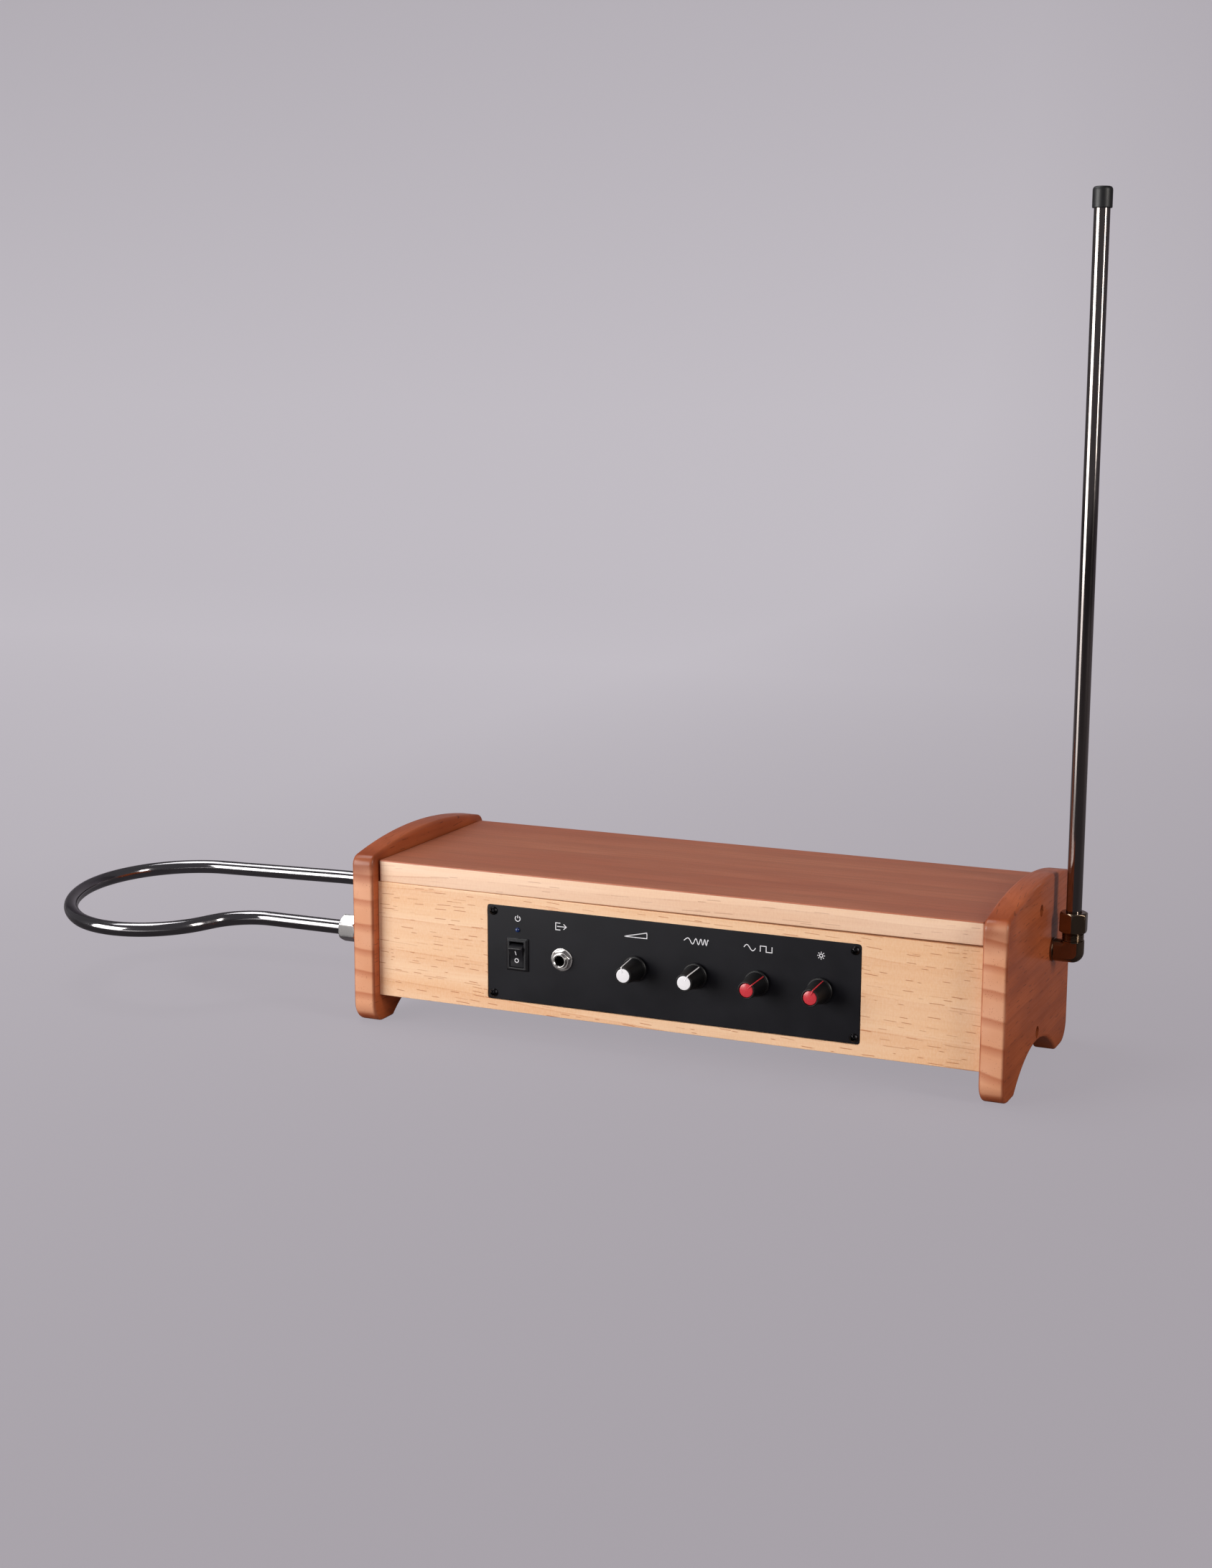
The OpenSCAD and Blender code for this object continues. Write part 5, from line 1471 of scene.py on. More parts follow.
@dataclass
class ControlPanel:
    """Black plate let into the front wall, its screws and its printed marks.

    Attributes:
        width: Width of the plate.
        height: Height of the plate.
        left: Place of its left edge.
        thick: Its thickness.
        corner_r: Radius of its corners.
        screw_inset: Distance of the screws from two edges.
        mark_z: Height of the marks over the knobs.
        print_t: Thickness of the print.
        line_w: Width of the printed lines.
    """

    width: float = 246.5
    height: float = 61.0
    left: float = 79.0
    thick: float = 2.0
    corner_r: float = 2.0
    screw_inset: float = 3.8
    mark_z: float = 59.0
    print_t: float = 0.04
    line_w: float = 0.5

    def plate(self) -> None:
        """Builds the plate with the holes of the controls."""
        middle = np.array([self.left + self.width / 2, ROW_Z])
        outline = rectangle(self.width, self.height, self.corner_r) + middle
        holes = [bore(x, ROW_Z, [(3.8, 0), (3.8, self.thick)]) for x in Knob.centres]
        holes.append(bore(OutputJack.x, ROW_Z, [(4.6, 0), (4.6, self.thick)]))
        holes.append(bore(PowerSwitch.x, Lamp.z, [(1.55, 0), (1.55, self.thick)]))
        window = rectangle(13.2, 19.2, 0.2) + (PowerSwitch.x, ROW_Z)
        holes.append(np.stack([lifted(window, 0), lifted(window, self.thick)]))
        skin = Skin()
        add_plate(skin, outline, self.thick, 0.25, on_face(0, 0, self.thick), holes)
        skin.settle("panel_plate", "cabinet", [PANEL_PAINT], ["control_panel"])

    def screws(self) -> None:
        """Builds the four black screws in the plate's corners."""
        skin = Skin()
        dx, dz = self.width / 2 - self.screw_inset, self.height / 2 - self.screw_inset
        middle = self.left + self.width / 2
        for i, (sx, sz) in enumerate(((-1, -1), (1, -1), (1, 1), (-1, 1))):
            place = on_face(middle + sx * dx, ROW_Z + sz * dz, turn=17.0 + 31 * i)
            add_cross_screw(skin, 5.4, 2.6, 9.0, place)
        skin.settle("panel_screw_set", "cabinet", [BLACK_STEEL], ["panel_screws"])

    def marks(self) -> None:
        """Prints a plain sign over each control.

        They are a line in a broken ring for power, an arrow for the output, a wedge for
        volume, a wave that gets shorter for pitch, a round and a square wave for the
        waveform, and a disc with rays for brightness.
        """
        skin = Skin()

        def draw(x: float, z: float, path: np.ndarray, closed: bool = False) -> None:
            """Draws one line of a sign about a place on the plate."""
            add_bar(skin, path, self.line_w, self.print_t, on_face(x, z), closed)

        power_x, power_z = PowerSwitch.x, 60.9
        draw(power_x, power_z, arc((0, 0), 1.7, 125, 415, 40))
        draw(power_x, power_z, [(0, 2.1), (0, 0.3)])
        jack_x, jack_z = OutputJack.x, 58.8
        draw(jack_x, jack_z, [(-3.4, 0), (2.6, 0)])
        draw(jack_x, jack_z, [(1.0, 1.7), (2.9, 0), (1.0, -1.7)])
        draw(jack_x, jack_z, [(-1.2, 2.2), (-4.4, 2.2), (-4.4, -2.2), (-1.2, -2.2)])
        volume_x, pitch_x, wave_x, bright_x = Knob.centres
        draw(volume_x, self.mark_z, [(-7.5, -1.7), (7.5, -1.7), (7.5, 1.9)])
        draw(volume_x, self.mark_z, [(-7.5, -1.6), (7.6, 1.9)])
        s = np.linspace(0, 1, 160)
        chirp = np.stack([-8 + 16 * s, 1.75 * np.sin(2 * np.pi * (1.2 * s + 3.2 * s**2.2))], -1)
        draw(pitch_x, self.mark_z, chirp)
        period = np.linspace(0, 1, 40)
        sine = np.stack([-9 + 7.5 * period, 1.75 * np.sin(2 * np.pi * period)], -1)
        draw(wave_x, self.mark_z, sine)
        draw(
            wave_x, self.mark_z,
            [(1.5, -1.75), (1.5, 1.75), (5.25, 1.75), (5.25, -1.75), (9, -1.75), (9, 1.75)],
        )
        draw(bright_x, self.mark_z, circle(1.0, 32), closed=True)
        for a in np.radians(np.arange(0, 360, 45)):
            ray = np.array([[1.65], [2.4]]) * [math.cos(a), math.sin(a)]
            draw(bright_x, self.mark_z, ray)
        skin.settle("panel_marks", "cabinet", [SCREEN_PRINT], crease=30)

    def build(self) -> None:
        """Builds the plate, its screws and its marks."""
        self.plate()
        self.screws()
        self.marks()


@dataclass
class PowerSwitch:
    """Rocker switch with a bevelled frame.

    Attributes:
        x: Place of its middle.
        frame_w: Width of the frame.
        frame_h: Height of the frame.
        frame_t: How far the frame stands out.
        slope: Width of the frame's bevel.
        well_w: Width of the well that the rocker tilts in.
        well_h: Height of the well.
        well_depth: Depth of the well behind the panel's face.
        body_depth: Depth of the body behind the panel's face.
        rocker_w: Width of the rocker.
        pivot_in: Distance of the rocker's pivot behind the panel's face.
        tilt: Tilt of the rocker at rest, in degrees.
    """

    x: float = 99.8
    frame_w: float = 15.0
    frame_h: float = 21.0
    frame_t: float = 2.0
    slope: float = 1.2
    well_w: float = 9.8
    well_h: float = 16.6
    well_depth: float = 8.0
    body_depth: float = 14.0
    rocker_w: float = 9.4
    pivot_in: float = 4.0
    tilt: float = 14.0

    def housing(self) -> None:
        """Builds the frame, its well and the body behind the panel as one turned-in cup."""
        w, h, t, s = self.frame_w / 2, self.frame_h / 2, self.frame_t, self.slope
        ww, wh = self.well_w / 2, self.well_h / 2
        bw, bh = w - 1, h - 1
        path = rounded(
            [(0.01, 0.01, -self.well_depth), (ww, wh, -self.well_depth), (ww, wh, t),
             (w - s, h - s, t), (w, h, t - s), (w, h, 0), (bw, bh, 0),
             (bw, bh, -self.body_depth), (0.01, 0.01, -self.body_depth)],
            [0, 0.3, 0.35, 0.3, 0.25, 0.1, 0.1, 0.5, 0],
            4,
        )
        corner = np.where(path[:, 2] > -0.5, 0.5, 0.6)
        stack = np.stack(
            [
                lifted(rectangle(2 * a, 2 * b, min(r, 0.4 * a), 4), c)
                for (a, b, c), r in zip(path, corner)
            ]
        )
        skin = Skin()
        skin.loft(stack, on_face(self.x))
        near, far = -self.body_depth + 0.1, -self.body_depth - 7
        ends = ((near, 0.01), (near, 1.0), (far, 1.0), (far, 0.01))
        for z in (-6.0, 0.0, 6.0):
            blade = [lifted(rectangle(4.8 * k, 0.8 * k, 0.1, 1) + (0, z), at) for at, k in ends]
            skin.loft(blade, on_face(self.x), ink=1)
        skin.settle(
            "switch_frame", "cabinet", [SWITCH_ABS, ZINC], ["switch_housing"], 25
        )

    def profile(self) -> np.ndarray:
        """Side of the rocker: how far it stands out and its height, tilted as at rest.

        Returns:
            A closed path in the plane of Y (outwards) and Z about the pivot.
        """
        reach = self.well_h / 2 - 1.7
        waist = 5.75
        tip = waist + reach * math.tan(math.radians(self.tilt))
        path = rounded(
            [(tip, reach), (waist, 0), (tip, -reach), (2.5, -7.6), (-1.5, -5.5), (-1.5, 5.5),
             (2.5, 7.6)],
            [0.5, 16, 0.5, 0.4, 0.4, 0.4, 0.4],
            8,
            closed=True,
        )
        a = math.radians(self.tilt)
        return path @ np.array([[math.cos(a), -math.sin(a)], [math.sin(a), math.cos(a)]])

    def rocker(self) -> None:
        """Builds the rocker, the stubs of its axle and its two marks."""
        path = cleaned(self.profile()[::-1])
        after = np.roll(path, -1, 0)
        area = 0.5 * (path[:, 0] * after[:, 1] - after[:, 0] * path[:, 1]).sum()
        if area < 0:
            path = path[::-1]
        levels = edge_steps(self.rocker_w, 0.35, 4, 0.1)
        stack = np.stack([lifted(inset(path, d), level) for d, level in levels])
        at = np.array([self.x - self.rocker_w / 2, FACE_Y + self.pivot_in, ROW_Z])
        skin = Skin()
        # The side's own axes are outwards, up and across
        add_prism(skin, stack, lambda p: at + np.stack([p[:, 2], -p[:, 0], p[:, 1]], -1))
        low, high = -1.6, self.rocker_w + 1.6
        axle = [(0, low), (1, low), (1, high), (0, high)]
        skin.turned(axle, Place(tuple(at), Facing.RIGHT), 24)
        self.rocker_marks(skin, path)
        skin.settle(
            "rocker_key", "rocker", [SWITCH_ABS, SCREEN_PRINT], ["rocker"], 30
        )

    def rocker_marks(self, skin: Skin, path: np.ndarray) -> None:
        """Prints the line and the ring that say on and off.

        A mark is drawn flat, then each of its points is moved out to the rocker's face, whose
        reach at each height is read off the side's path.

        Args:
            skin: The rocker's surface.
            path: Side of the rocker.
        """
        front = path[path[:, 0] > 3.2]
        front = front[np.argsort(front[:, 1])]
        at = np.array([self.x, FACE_Y + self.pivot_in, ROW_Z])

        def press(flat: Skin) -> None:
            """Lays flat marks on the face, 0.03 mm proud."""
            points = np.concatenate(flat.points)
            out = np.interp(points[:, 1], front[:, 1], front[:, 0]) + points[:, 2]
            faces = np.array(flat.faces)
            skin.add(at + np.stack([points[:, 0], -out, points[:, 1]], -1), faces, ink=1)

        bar = Skin()
        add_bar(bar, np.stack([np.zeros(12), np.linspace(0.2, 2.9, 12)], -1), 0.55, 0.03, Place())
        press(bar)
        ring = Skin()
        add_bar(ring, circle(1.25, 40) + (0, -3.6), 0.5, 0.03, Place(), closed=True)
        press(ring)

    def build(self) -> None:
        """Builds the housing and the rocker."""
        self.housing()
        self.rocker()


@dataclass
class Lamp:
    """Round indicator lamp over the switch.

    Attributes:
        z: Height of its middle.
        diameter: Diameter of the lens.
    """

    z: float = 53.65
    diameter: float = 3.0

    def build(self) -> None:
        """Builds the domed lens, its collar and its two legs."""
        r = self.diameter / 2
        dome = arc((0, 0.2), r, 0, 90, 14)
        collar = [(0, -3.2), (r + 0.45, -3.2), (r + 0.45, -2.0), (r, -2.0)]
        skin = Skin()
        skin.turned(np.concatenate([collar, dome]), on_face(PowerSwitch.x, self.z), 48)
        for x in (-0.8, 0.8):
            leg = on_face(PowerSwitch.x + x, self.z)
            skin.turned([(0, -9), (0.3, -9), (0.3, -3.1), (0, -3.1)], leg, 12, ink=1)
        skin.settle("lamp_lens", "cabinet", [BLUE_RESIN, ZINC], ["power_lamp"])


@dataclass
class OutputJack:
    """Output socket: threaded bushing, nut and washer.

    Attributes:
        x: Place of its axis.
        bushing_r: Outer radius of the bushing.
        hole_r: Radius of the hole for the plug.
        out: How far the bushing stands out.
    """

    x: float = 130.6
    bushing_r: float = 4.5
    hole_r: float = 3.2
    out: float = 4.9

    def build(self) -> None:
        """Builds the bushing, the nut and the washer."""
        skin = Skin()
        r, bore_r, top = self.bushing_r, self.hole_r, self.out
        lip = rounded(
            [(r, 3.9), (r, top), (bore_r + 0.5, top), (bore_r, top - 0.7), (bore_r, 3.9)],
            [0, 0.35, 0.2, 0.3, 0],
        )
        add_thread(skin, r, 9.9, 0.75, 0.28, bore_r, on_face(self.x, back=6), 0.0)
        skin.turned(lip, on_face(self.x), 96, ring_rows=True)
        skin.settle("jack_barrel", "cabinet", [BRIGHT_NICKEL], ["jack_bushing"])
        nut = Skin()
        add_hexagon(nut, 11.4, 2.4, r, on_face(self.x, back=-0.8, turn=14.0), (0.0, 0.9), 0.15)
        nut.settle("jack_hex_nut", "cabinet", [BRIGHT_NICKEL], ["jack_nut"])
        washer = Skin()
        washer.turned(
            rounded([(r, 0), (7.3, 0), (7.3, 0.8), (r, 0.8)], [0.05, 0.15, 0.25, 0.1], closed=True),
            on_face(self.x), 96, ring_rows=True,
        )
        washer.settle("jack_flat_washer", "cabinet", [BRIGHT_NICKEL], ["jack_washer"])


@dataclass
class Knob:
    """One knob with its coloured cap and pointer.

    Attributes:
        name: What the knob sets.
        x: Place of its axis.
        turn: Turn of its pointer from straight up, clockwise, in degrees.
        cap: Finish of its cap.
        slot: Material slot of its cap; not used.
        bulge: How far its cap's middle stands above its rim.
        centres: Places of the four knobs' axes.
        clear: Gap between the panel's face and the skirt.
        skirt_r: Radius of the skirt.
        skirt_t: Thickness of the skirt.
        foot_r: Radius of the grip's foot.
        top_r: Radius of the grip's top.
        height: Height of the grip's top over the panel's face.
        recess: Depth of the recess for the cap.
        cap_r: Radius of the cap.
        fin_w: Width of the pointer.
    """

    name: str
    x: float
    turn: float
    cap: Finish
    slot: str
    bulge: float
    centres = (180.5, 220.5, 260.5, 300.5)
    clear: float = 1.2
    skirt_r: float = 8.0
    skirt_t: float = 1.6
    foot_r: float = 7.1
    top_r: float = 5.3
    height: float = 19.6
    recess: float = 1.9
    cap_r: float = 4.3
    fin_w: float = 0.7

    def body(self) -> None:
        """Builds the black body: a skirt, a tapered grip and a recess for the cap."""
        foot = self.clear + self.skirt_t
        top, floor = self.height, self.height - self.recess
        profile = rounded(
            [(5.8, self.clear), (self.skirt_r, self.clear), (self.skirt_r, foot - 0.5),
             (self.skirt_r - 0.5, foot), (self.foot_r, foot), (self.top_r, top),
             (self.cap_r + 0.3, top), (self.cap_r + 0.3, floor), (0.01, floor),
             (0.01, 15.1), (3.0, 15.1), (3.0, 5.6), (5.8, 5.6)],
            [0.2, 0.3, 0.25, 0.3, 0.5, 0.35, 0.2, 0.1, 0, 0, 0.1, 0.1, 0.1],
            5,
            closed=True,
        )
        skin = Skin()
        skin.turned(profile, on_face(self.x), 96, ring_rows=True)
        name = self.name
        skin.settle(
            f"{name}_knob_body", f"{name}_control", [KNOB_ABS], [f"{name}_knob"],
            30,
        )

    def cover(self) -> None:
        """Builds the cap and the fin of the pointer that runs over the rim and down the side."""
        top, floor = self.height, self.height - self.recess
        rise = top + 0.2 - self.bulge
        r = np.linspace(self.cap_r - 0.35, 0, 12)
        dome = np.stack([r, rise + self.bulge * (1 - (r / self.cap_r) ** 2)], -1)
        rim = rounded(
            [(0, floor), (self.cap_r, floor), (self.cap_r, rise - 0.1), tuple(dome[0])],
            [0, 0.05, 0.3, 0],
        )
        skin = Skin()
        skin.turned(np.concatenate([rim, dome]), on_face(self.x), 96)
        foot = self.clear + self.skirt_t
        side = rounded(
            [(self.cap_r - 2.4, floor + 0.2), (self.top_r - 1.1, floor + 0.2),
             (self.foot_r - 0.9, foot + 0.2), (self.foot_r + 0.15, foot + 0.2),
             (self.top_r + 0.22, top - 0.3), (self.top_r - 0.15, top + 0.2),
             (self.cap_r - 2.4, top + 0.32)],
            [0, 0.2, 0.1, 0.15, 0.2, 0.2, 0.2],
            4,
            closed=True,
        )
        side = cleaned(side)
        levels = edge_steps(self.fin_w, 0.2, 3, 0.05)
        stack = np.stack([lifted(inset(side, d), level - self.fin_w / 2) for d, level in levels])
        a = math.radians(90 - self.turn)
        out = np.array([math.cos(a), math.sin(a), 0.0])
        across = np.array([-math.sin(a), math.cos(a), 0.0])
        axes = np.stack([out, (0.0, 0.0, 1.0), across])
        add_prism(skin, stack, lambda p: p @ axes, on_face(self.x))
        name = self.name
        skin.settle(
            f"{name}_cap_and_pointer", f"{name}_control", [self.cap], [f"{name}_cap"], 30
        )

    def build(self) -> None:
        """Builds the body and the cap."""
        self.body()
        self.cover()


@dataclass
class PitchAntenna:
    """Upright rod on its elbow fitting.

    Attributes:
        corner: Where the elbow's two axes meet.
        out: Reach of the elbow's level arm, from there to the cheek's side.
        radius: Radius of the elbow's arms.
        flat: Width of the elbow over its flat sides.
        thread_d: Diameter of the thread.
        thread_len: Length of the thread.
        nut_base: Height of the nut's lower end over the corner.
        nut_af: Width of the nut over its flats.
        nut_len: Length of the nut.
        rod_len: Height of the rod's end over the corner.
        cap_d: Diameter of the end cap.
        cap_len: Length of the end cap.
    """

    corner: tuple[float, float, float] = (427.5, 102.0, 51.5)
    out: float = 12.5
    radius: float = 7.0
    flat: float = 11.4
    thread_d: float = 13.4
    thread_len: float = 11.2
    nut_base: float = 12.2
    nut_af: float = 15.9
    nut_len: float = 12.5
    rod_len: float = 454.6
    cap_d: float = 11.7
    cap_len: float = 12.4

    def elbow(self) -> None:
        """Builds the elbow: for each step t across it, an L whose arms are half as wide as
        the chord sqrt(r^2 - t^2), with a round outer and an eased inner corner."""
        half = self.flat / 2
        edge = np.array([half, half, half - 0.12, half - 0.45])
        t = np.concatenate([-edge, np.linspace(-half + 0.9, half - 0.9, 15), edge[::-1]])
        shrink = np.zeros_like(t)
        shrink[[0, -1]] = 0.45
        shrink[[1, -2]] = 0.3
        shrink[[2, -3]] = 0.08
        w = np.sqrt(self.radius**2 - t**2) - shrink
        loops = []
        for step, wide in zip(t, w):
            bend = arc((0, 0), wide, 0, -90, 22)
            path = rounded(
                [(-self.out, wide), (-wide, wide), (-wide, self.radius), (wide, self.radius)],
                [0, 1.6, 0, 0],
                7,
            )
            loops.append(lifted(np.concatenate([path, bend, [(-self.out, -wide)]]), step))
        skin = Skin()
        place = Place(self.corner)
        add_prism(skin, np.stack(loops), lambda p: p[:, [0, 2, 1]], place)
        x, y, z = self.corner
        above = Place((x, y, z + self.radius))
        add_thread(skin, self.thread_d / 2, self.thread_len, 1.2, 0.5, TUBE_R + TUBE_PLAY, above)
        shoulder = rounded(
            [(0, 6.2), (self.radius, 6.2), (self.radius, 7.0), (6.0, 7.3), (0, 7.3)],
            [0, 0.2, 0.3, 0.1, 0],
        )
        skin.turned(shoulder, place, 96)
        collar = rounded(
            [(0, -24), (2.5, -24), (2.5, -11), (6, -11), (6, 0), (7.4, 0), (7.4, 1.6),
             (6.4, 1.6), (6.2, 1.2), (0, 1.2)],
            [0, 0.3, 0, 0.3, 0, 0.15, 0.3, 0.1, 0, 0],
        )
        skin.turned(collar, Place((BOX_W + CHEEK_T, y, z), Facing.RIGHT), 96)
        skin.settle("elbow_fitting", "cabinet", [DARK_NICKEL], ["pitch_elbow"], 32)

    def build(self) -> None:
        """Builds the elbow, the nut, the rod and its cap."""
        self.elbow()
        x, y, z = self.corner
        nut = Skin()
        base = Place((x, y, z + self.nut_base), turn=34.0)
        add_hexagon(nut, self.nut_af, self.nut_len, TUBE_R + TUBE_PLAY, base)
        nut.settle("rod_hex_nut", "pitch_nut", [DARK_NICKEL], ["pitch_nut"], 32)
        rod = Skin()
        top = self.rod_len - 1
        rod.turned(
            rounded([(TUBE_R, 1.1), (TUBE_R, top), (3.75, top), (3.75, 1.1)], 0.2, closed=True),
            Place((x, y, z)), 96, ring_rows=True,
        )
        rod.settle("rod_tube", "pitch_antenna", [CHROME], ["pitch_tube"])
        cap = Skin()
        r, end = self.cap_d / 2, self.rod_len
        low, roof = end - self.cap_len, end - 1.05
        profile = rounded(
            [(TUBE_R, roof), (TUBE_R, low), (r - 0.15, low), (r, low + 0.6), (r, end), (0, end)],
            [0, 0.15, 0.2, 0.3, 2.6, 0], 8,
        )
        profile = np.concatenate([[(0, roof)], profile])
        cap.turned(profile, Place((x, y, z)), 64)
        cap.settle("rod_end_cap", "pitch_antenna", [VINYL], ["pitch_end_cap"], 40)


@dataclass
class VolumeLoop:
    """Bent tube on the left end with its two fittings.

    Attributes:
        gap: Distance between the axes of the two legs.
        plane_z: Height of the loop's plane midway between them.
        tilt: Tilt of that plane about X, in degrees.
        leg_end: Place along X of the legs' ends, inside the fittings.
        front_run: Length of the straight front leg from the cheek.
        rear_run: Length of the straight rear leg from the cheek.
        neck_r: Radius of the bend after the front leg.
        neck_turn: Turn of that bend, in degrees.
        neck_run: Length of the straight after it.
        bow_front_r: Radius of the bow's front part.
        bow_front_turn: Turn of the bow's front part, in degrees.
        bow_outer_r: Radius of the bow's outer part.
        bow_outer_turn: Turn of the bow's outer part, in degrees.
        rear_slant: Heading of the rear straight, in degrees.
        rear_bend_r: Radius of the bend before the rear leg.
        collar_t: Thickness of the fittings' collars.
        thread_len: Length of the fittings' threads.
        nut_start: Distance of the nuts from the cheek.
        nut_len: Length of the nuts.
    """

    gap: float = 108.0
    plane_z: float = 40.2
    tilt: float = 3.05
    leg_end: float = -23.5
    front_run: float = 77.6
    rear_run: float = 77.0
    neck_r: float = 38.0
    neck_turn: float = 61.0
    neck_run: float = 7.0
    bow_front_r: float = 59.0
    bow_front_turn: float = 96.0
    bow_outer_r: float = 101.0
    bow_outer_turn: float = 43.0
    rear_slant: float = 4.8
    rear_bend_r: float = 150.0
    collar_t: float = 3.3
    thread_len: float = 11.2
    nut_start: float = 8.5
    nut_len: float = 12.5

    def path(self) -> tuple[np.ndarray, np.ndarray]:
        """Middle line of the tube in the loop's plane, and its normal in that plane.

        The line is a chain of straights and arcs; each arc starts in the heading the one
        before ends in, and the last but one closes the chain to the rear leg.

        Returns:
            Points and unit normals in two coordinates.
        """

        def left_of(a: float) -> np.ndarray:
            """Unit vector to the left of a heading in degrees."""
            return np.array([-math.sin(math.radians(a)), math.cos(math.radians(a))])

        def along(a: float) -> np.ndarray:
            """Unit vector along a heading in degrees."""
            return np.array([math.cos(math.radians(a)), math.sin(math.radians(a))])

        h1, h2 = 180.0, 180.0 + self.neck_turn
        h3 = h2 - self.bow_front_turn
        h4, h5 = h3 - self.bow_outer_turn, self.rear_slant
        half = self.gap / 2
        p1 = np.array([-CHEEK_T - self.front_run, -half])
        c1 = p1 + self.neck_r * left_of(h1)
        p2 = c1 - self.neck_r * left_of(h2)
        p3 = p2 + self.neck_run * along(h2)
        c2 = p3 - self.bow_front_r * left_of(h2)
        p4 = c2 + self.bow_front_r * left_of(h3)
        c3 = p4 - self.bow_outer_r * left_of(h3)
        p5 = c3 + self.bow_outer_r * left_of(h4)
        lean = math.radians(h5)
        rear_x = -CHEEK_T - self.rear_run - self.rear_bend_r * math.sin(lean)
        slope = math.tan(lean)
        fall = half - p5[1] - (rear_x - p5[0]) * slope
        fall -= self.rear_bend_r * (1 - math.cos(lean))
        turn_step = left_of(h5) - left_of(h4)
        rear_r = fall / (turn_step[1] - turn_step[0] * slope)
        c4 = p5 - rear_r * left_of(h4)
        p6 = c4 + rear_r * left_of(h5)
        p7 = np.array([rear_x, p6[1] + (rear_x - p6[0]) * slope])
        c5 = p7 - self.rear_bend_r * left_of(h5)
        past_nut = -55.0
        chain = [
            [(self.leg_end, -half), (past_nut, -half)],
            arc(c1, self.neck_r, h1 - 90, h2 - 90, 24),
            arc(c2, self.bow_front_r, h2 + 90, h3 + 90, 48),
            arc(c3, self.bow_outer_r, h3 + 90, h4 + 90, 32),
            arc(c4, rear_r, h4 + 90, h5 + 90, 48),
            arc(c5, self.rear_bend_r, h5 + 90, 90, 8),
            [(past_nut, half), (self.leg_end, half)],
        ]
        points = np.concatenate(chain)
        step = np.gradient(points, axis=0)
        step /= np.linalg.norm(step, axis=1, keepdims=True)
        return points, np.stack([-step[:, 1], step[:, 0]], -1)

    def tube(self) -> None:
        """Carries a circle along the middle line: P + r (cos a N + sin a B), with N in the
        loop's plane and B across it."""
        flat, normal = self.path()
        tilt = math.radians(self.tilt)
        in_plane = np.array([[1, 0, 0], [0, math.cos(tilt), math.sin(tilt)]])
        up = np.array([0, -math.sin(tilt), math.cos(tilt)])
        origin = np.array([0, BOX_D / 2, self.plane_z])
        centre = origin + flat @ in_plane
        n = normal @ in_plane
        ring = circle(1.0, 40)

        def shell(radius: float) -> np.ndarray:
            """Rings of one radius along the line."""
            out = ring[None, :, :1] * n[:, None] + ring[None, :, 1:] * up
            return centre[:, None] + radius * out

        stack = np.concatenate([shell(TUBE_R), shell(TUBE_R - 1)[::-1]])
        skin = Skin()
        skin.loft(stack, ring_rows=True)
        node = "volume_loop"
        skin.settle("loop_tube", node, [CHROME_ALONG_X], [node], 60)

    def build(self) -> None:
        """Builds the tube, the fittings and the nuts."""
        self.tube()
        tilt = math.radians(self.tilt)
        fittings = Skin()
        bore_r = TUBE_R + TUBE_PLAY
        stub = rounded(
            [(0, -24), (2.5, -24), (2.5, -11), (6, -11), (6, 3.2), (0, 3.2)],
            [0, 0.3, 0, 0.3, 0, 0],
        )
        for name, half in (("front", -self.gap / 2), ("rear", self.gap / 2)):
            y = BOX_D / 2 + half * math.cos(tilt)
            z = self.plane_z + half * math.sin(tilt)
            place = Place((-CHEEK_T, y, z), Facing.LEFT)
            add_hexagon(fittings, 16.5, self.collar_t, 6.0, place, (0.5, 0.8), 0.3)
            on_collar = Place((-CHEEK_T - self.collar_t + 0.05, y, z), Facing.LEFT)
            add_thread(fittings, 6.7, self.thread_len, 1.2, 0.5, bore_r, on_collar)
            fittings.turned(stub, place, 48)
            nut = Skin()
            start = Place((-CHEEK_T - self.nut_start, y, z), Facing.LEFT)
            add_hexagon(nut, PitchAntenna.nut_af, self.nut_len, bore_r, start)
            node = f"{name}_loop_nut"
            nut.settle(f"{name}_hex_nut", node, [BRIGHT_NICKEL], [node], 32)
        fittings.settle(
            "loop_fitting_set", "cabinet", [DARK_NICKEL], ["loop_fittings"], 32
        )


@dataclass
class PowerInlet:
    """Round power socket in the back wall.

    Attributes:
        x: Place of its axis.
    """

    x: float = 62.0

    def build(self) -> None:
        """Builds the flange, the barrel and the pin."""
        place = Place((self.x, BOX_D, ROW_Z), Facing.BACK)
        skin = Skin()
        barrel = rounded(
            [(0, -9), (2.9, -9), (2.9, 1.6), (3.3, 2), (7.5, 2), (7.5, 0), (5.5, 0),
             (5.5, -22), (0, -22)],
            [0, 0.1, 0, 0.1, 0.5, 0.1, 0.1, 0.3, 0],
        )
        skin.turned(barrel, place, 64)
        pin = rounded([(0, -9.4), (1.05, -9.4), (1.05, 0), (0, 0)], [0, 0, 0.4, 0])
        skin.turned(pin, place, 24, ink=1)
        skin.settle(
            "power_socket", "cabinet", [BLACK_ABS, BRIGHT_NICKEL], ["dc_inlet"]
        )


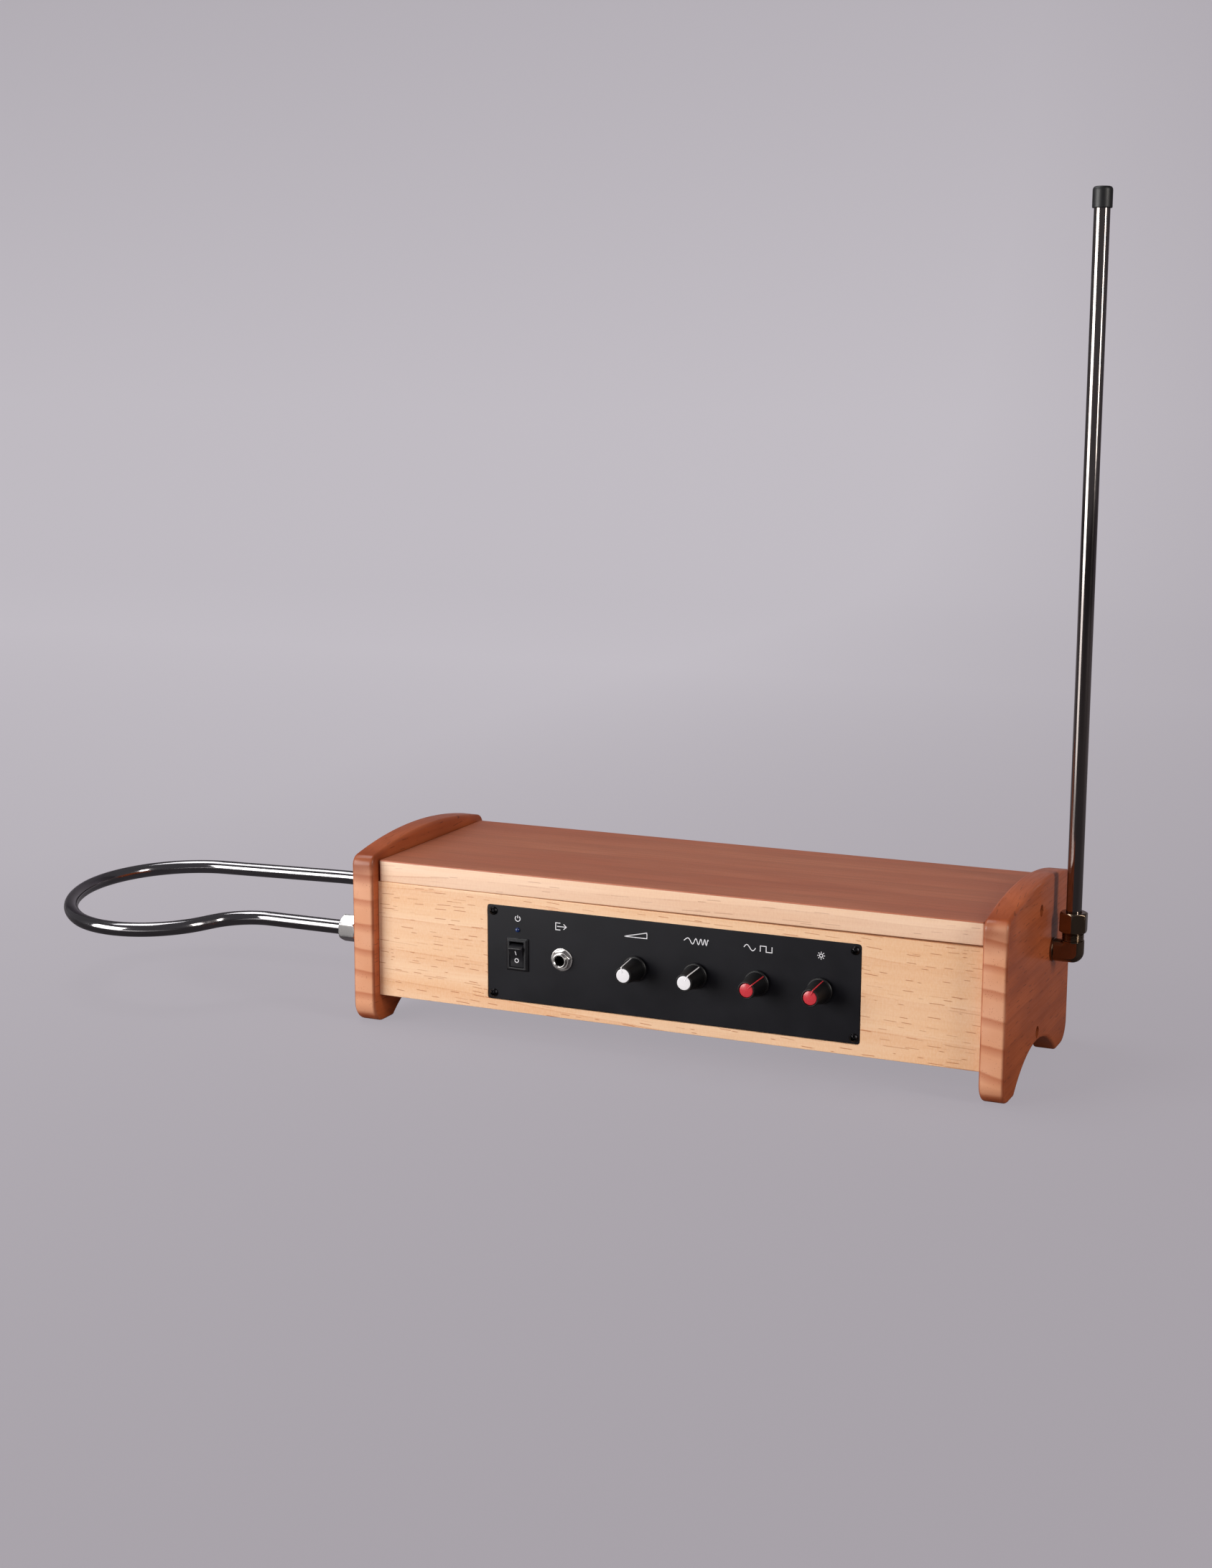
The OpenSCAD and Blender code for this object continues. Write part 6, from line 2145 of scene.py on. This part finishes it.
def dress_inner_parts() -> None:
    """Gives the solids that show as they are their finishes."""
    finishes = {
        ZINC: ("standoffs", "board_screws", "pot_nuts", "dc_nut", "pot_bodies", "oscillator_cans",
               "volume_shaft", "pitch_shaft", "waveform_shaft", "brightness_shaft"),
        BLACK_ABS: ("jack_body", "chips"),
        SOLDER_MASK: ("control_board", "main_board"),
        RIBBON_VINYL: ("ribbon_cable",),
        CHOKE_WIRE: ("antenna_chokes",),
        SLEEVE: ("capacitors",),
        FIN_METAL: ("regulator",),
        TERMINAL: ("terminals",),
        RED_VINYL: ("pitch_lead", "volume_lead"),
        BLACK_VINYL: ("panel_leads",),
        BRASS: ("locknuts", "pitch_ferrule", "loop_ferrules"),
    }
    for finish, names in finishes.items():
        for name in names:
            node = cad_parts[name]
            node.data.materials.clear()
            node.data.materials.append(finish.material())
            LOG.info("%s: %s", name, finish.name)


# ---- Studio ----


@dataclass
class Studio:
    """Camera, floor with its curved backdrop, lamps and world.

    Attributes:
        eye: Place of the camera in the box's frame, in millimetres.
        right: Its rightward axis.
        up: Its upward axis.
        ahead: The way it looks.
        focal: Its focal length in millimetres, for a 36 mm sensor.
        aim: Point that the lamps face, in metres in the shared frame.
        paper: Colour of the floor and the backdrop.
    """

    eye: tuple[float, float, float] = (737.65, -1293.11, 416.20)
    right: tuple[float, float, float] = (0.91294, 0.40809, 0.00280)
    up: tuple[float, float, float] = (-0.07743, 0.16649, 0.98300)
    ahead: tuple[float, float, float] = (-0.40068, 0.89763, -0.18359)
    focal: float = 54.193
    aim: tuple[float, float, float] = (0.1, 0.0, 0.1)
    paper: str = "#CAC5CC"

    def camera(self) -> None:
        """Sets the camera where the photograph was taken from."""
        data = bpy.data.cameras.new("camera")
        data.sensor_width = 36.0
        data.lens = self.focal
        data.clip_start, data.clip_end = 0.05, 20.0
        made = put_in_scene("camera", data)
        axes = Matrix((self.right, self.up, tuple(-v for v in self.ahead))).transposed()
        stand = Matrix.Translation((np.array(self.eye) + CORNER) * MM)
        made.matrix_world = stand @ axes.to_4x4()
        bpy.context.scene.camera = made

    def backdrop(self) -> None:
        """Builds the floor, which curves up into a wall far behind."""
        far, high, bend = 3.6, 4.2, 1.2
        curve = arc((far - bend, bend), bend, -90, 0, 24)
        side = np.concatenate([[(-5.0, 0.0)], curve, [(far, high)]])
        x = np.linspace(-7, 7, 15)
        rows = np.broadcast_arrays(x[None], side[:, :1], side[:, 1:])
        grid = np.stack(rows, -1).reshape(-1, 3)
        # A ring's last quads would join both edges of the paper, so they are left out
        quads = grid_faces(len(side), len(x)).reshape(len(side) - 1, len(x), 4)
        faces = quads[:, :-1].reshape(-1, 4)
        mesh = bpy.data.meshes.new("backdrop")
        mesh.from_pydata(grid.tolist(), [], faces.tolist())
        mesh.materials.append(Paper("backdrop_paper", self.paper, 0.95).material())
        mesh.shade_smooth()
        put_in_scene("backdrop", mesh)

    def lamp(
        self,
        name: str,
        at: tuple[float, float, float],
        size: tuple[float, float],
        watts: float,
        tint: str,
    ) -> None:
        """Sets one soft lamp that faces the instrument.

        Args:
            name: Its name.
            at: Its place in metres.
            size: Its width and height in metres.
            watts: Its power.
            tint: Its colour.
        """
        data = bpy.data.lights.new(name, "AREA")
        data.shape = "RECTANGLE"
        data.size, data.size_y = size
        data.energy = watts
        data.color = linear(tint)[:3]
        made = put_in_scene(name, data)
        made.location = at
        aim = Vector(self.aim) - Vector(at)
        made.rotation_euler = aim.to_track_quat("-Z", "Y").to_euler()

    def build(self) -> None:
        """Sets up the whole studio."""
        self.camera()
        self.backdrop()
        self.lamp("left_softbox", (-1.5, -1.8, 0.74), (1.7, 1.42), 60.0, "#FFFDFB")
        self.lamp("right_softbox", (2.3, -0.7, 1.0), (0.5, 1.4), 24.0, "#FFFAF4")
        self.lamp("top_softbox", (-0.9, 0.1, 2.3), (1.3, 1.2), 22.0, "#FFFFFF")
        world = bpy.data.worlds.new("studio")
        world.use_nodes = True
        back = world.node_tree.nodes["Background"]
        back.inputs["Color"].default_value = linear("#C9C5CB")
        # The camera sees it lighter than it shines, so that it meets the paper's tone
        tree = world.node_tree
        sight = add_node(tree, "LightPath").outputs["Is Camera Ray"]
        force = add_node(tree, "Math", {0: sight, 1: 0.52, 2: 0.22}, operation="MULTIPLY_ADD")
        tree.links.new(force.outputs[0], back.inputs["Strength"])
        bpy.context.scene.world = world
        bpy.context.scene.view_settings.view_transform = "Standard"


def main() -> None:
    """Builds every sub-assembly in order."""
    logging.basicConfig(level=logging.INFO, format="%(message)s")
    sets = [
        Studio(),
        Cabinet(),
        Cheek(left=True),
        Cheek(left=False),
        StandFlange(),
        ControlPanel(),
        PowerSwitch(),
        Lamp(),
        OutputJack(),
        Knob("volume", Knob.centres[0], -13, WHITE_ABS, "white_plastic", 0.15),
        Knob("pitch", Knob.centres[1], 28, WHITE_ABS, "white_plastic", 0.15),
        Knob("waveform", Knob.centres[2], 43, RED_ABS, "red_plastic", 0.6),
        Knob("brightness", Knob.centres[3], 20, RED_ABS, "red_plastic", 0.6),
        PitchAntenna(),
        VolumeLoop(),
        PowerInlet(),
    ]
    for part in sets:
        part.build()
        LOG.info("built %s", type(part).__name__)
    cheek_screws()
    dress_inner_parts()


if __name__ == "__main__":
    main()
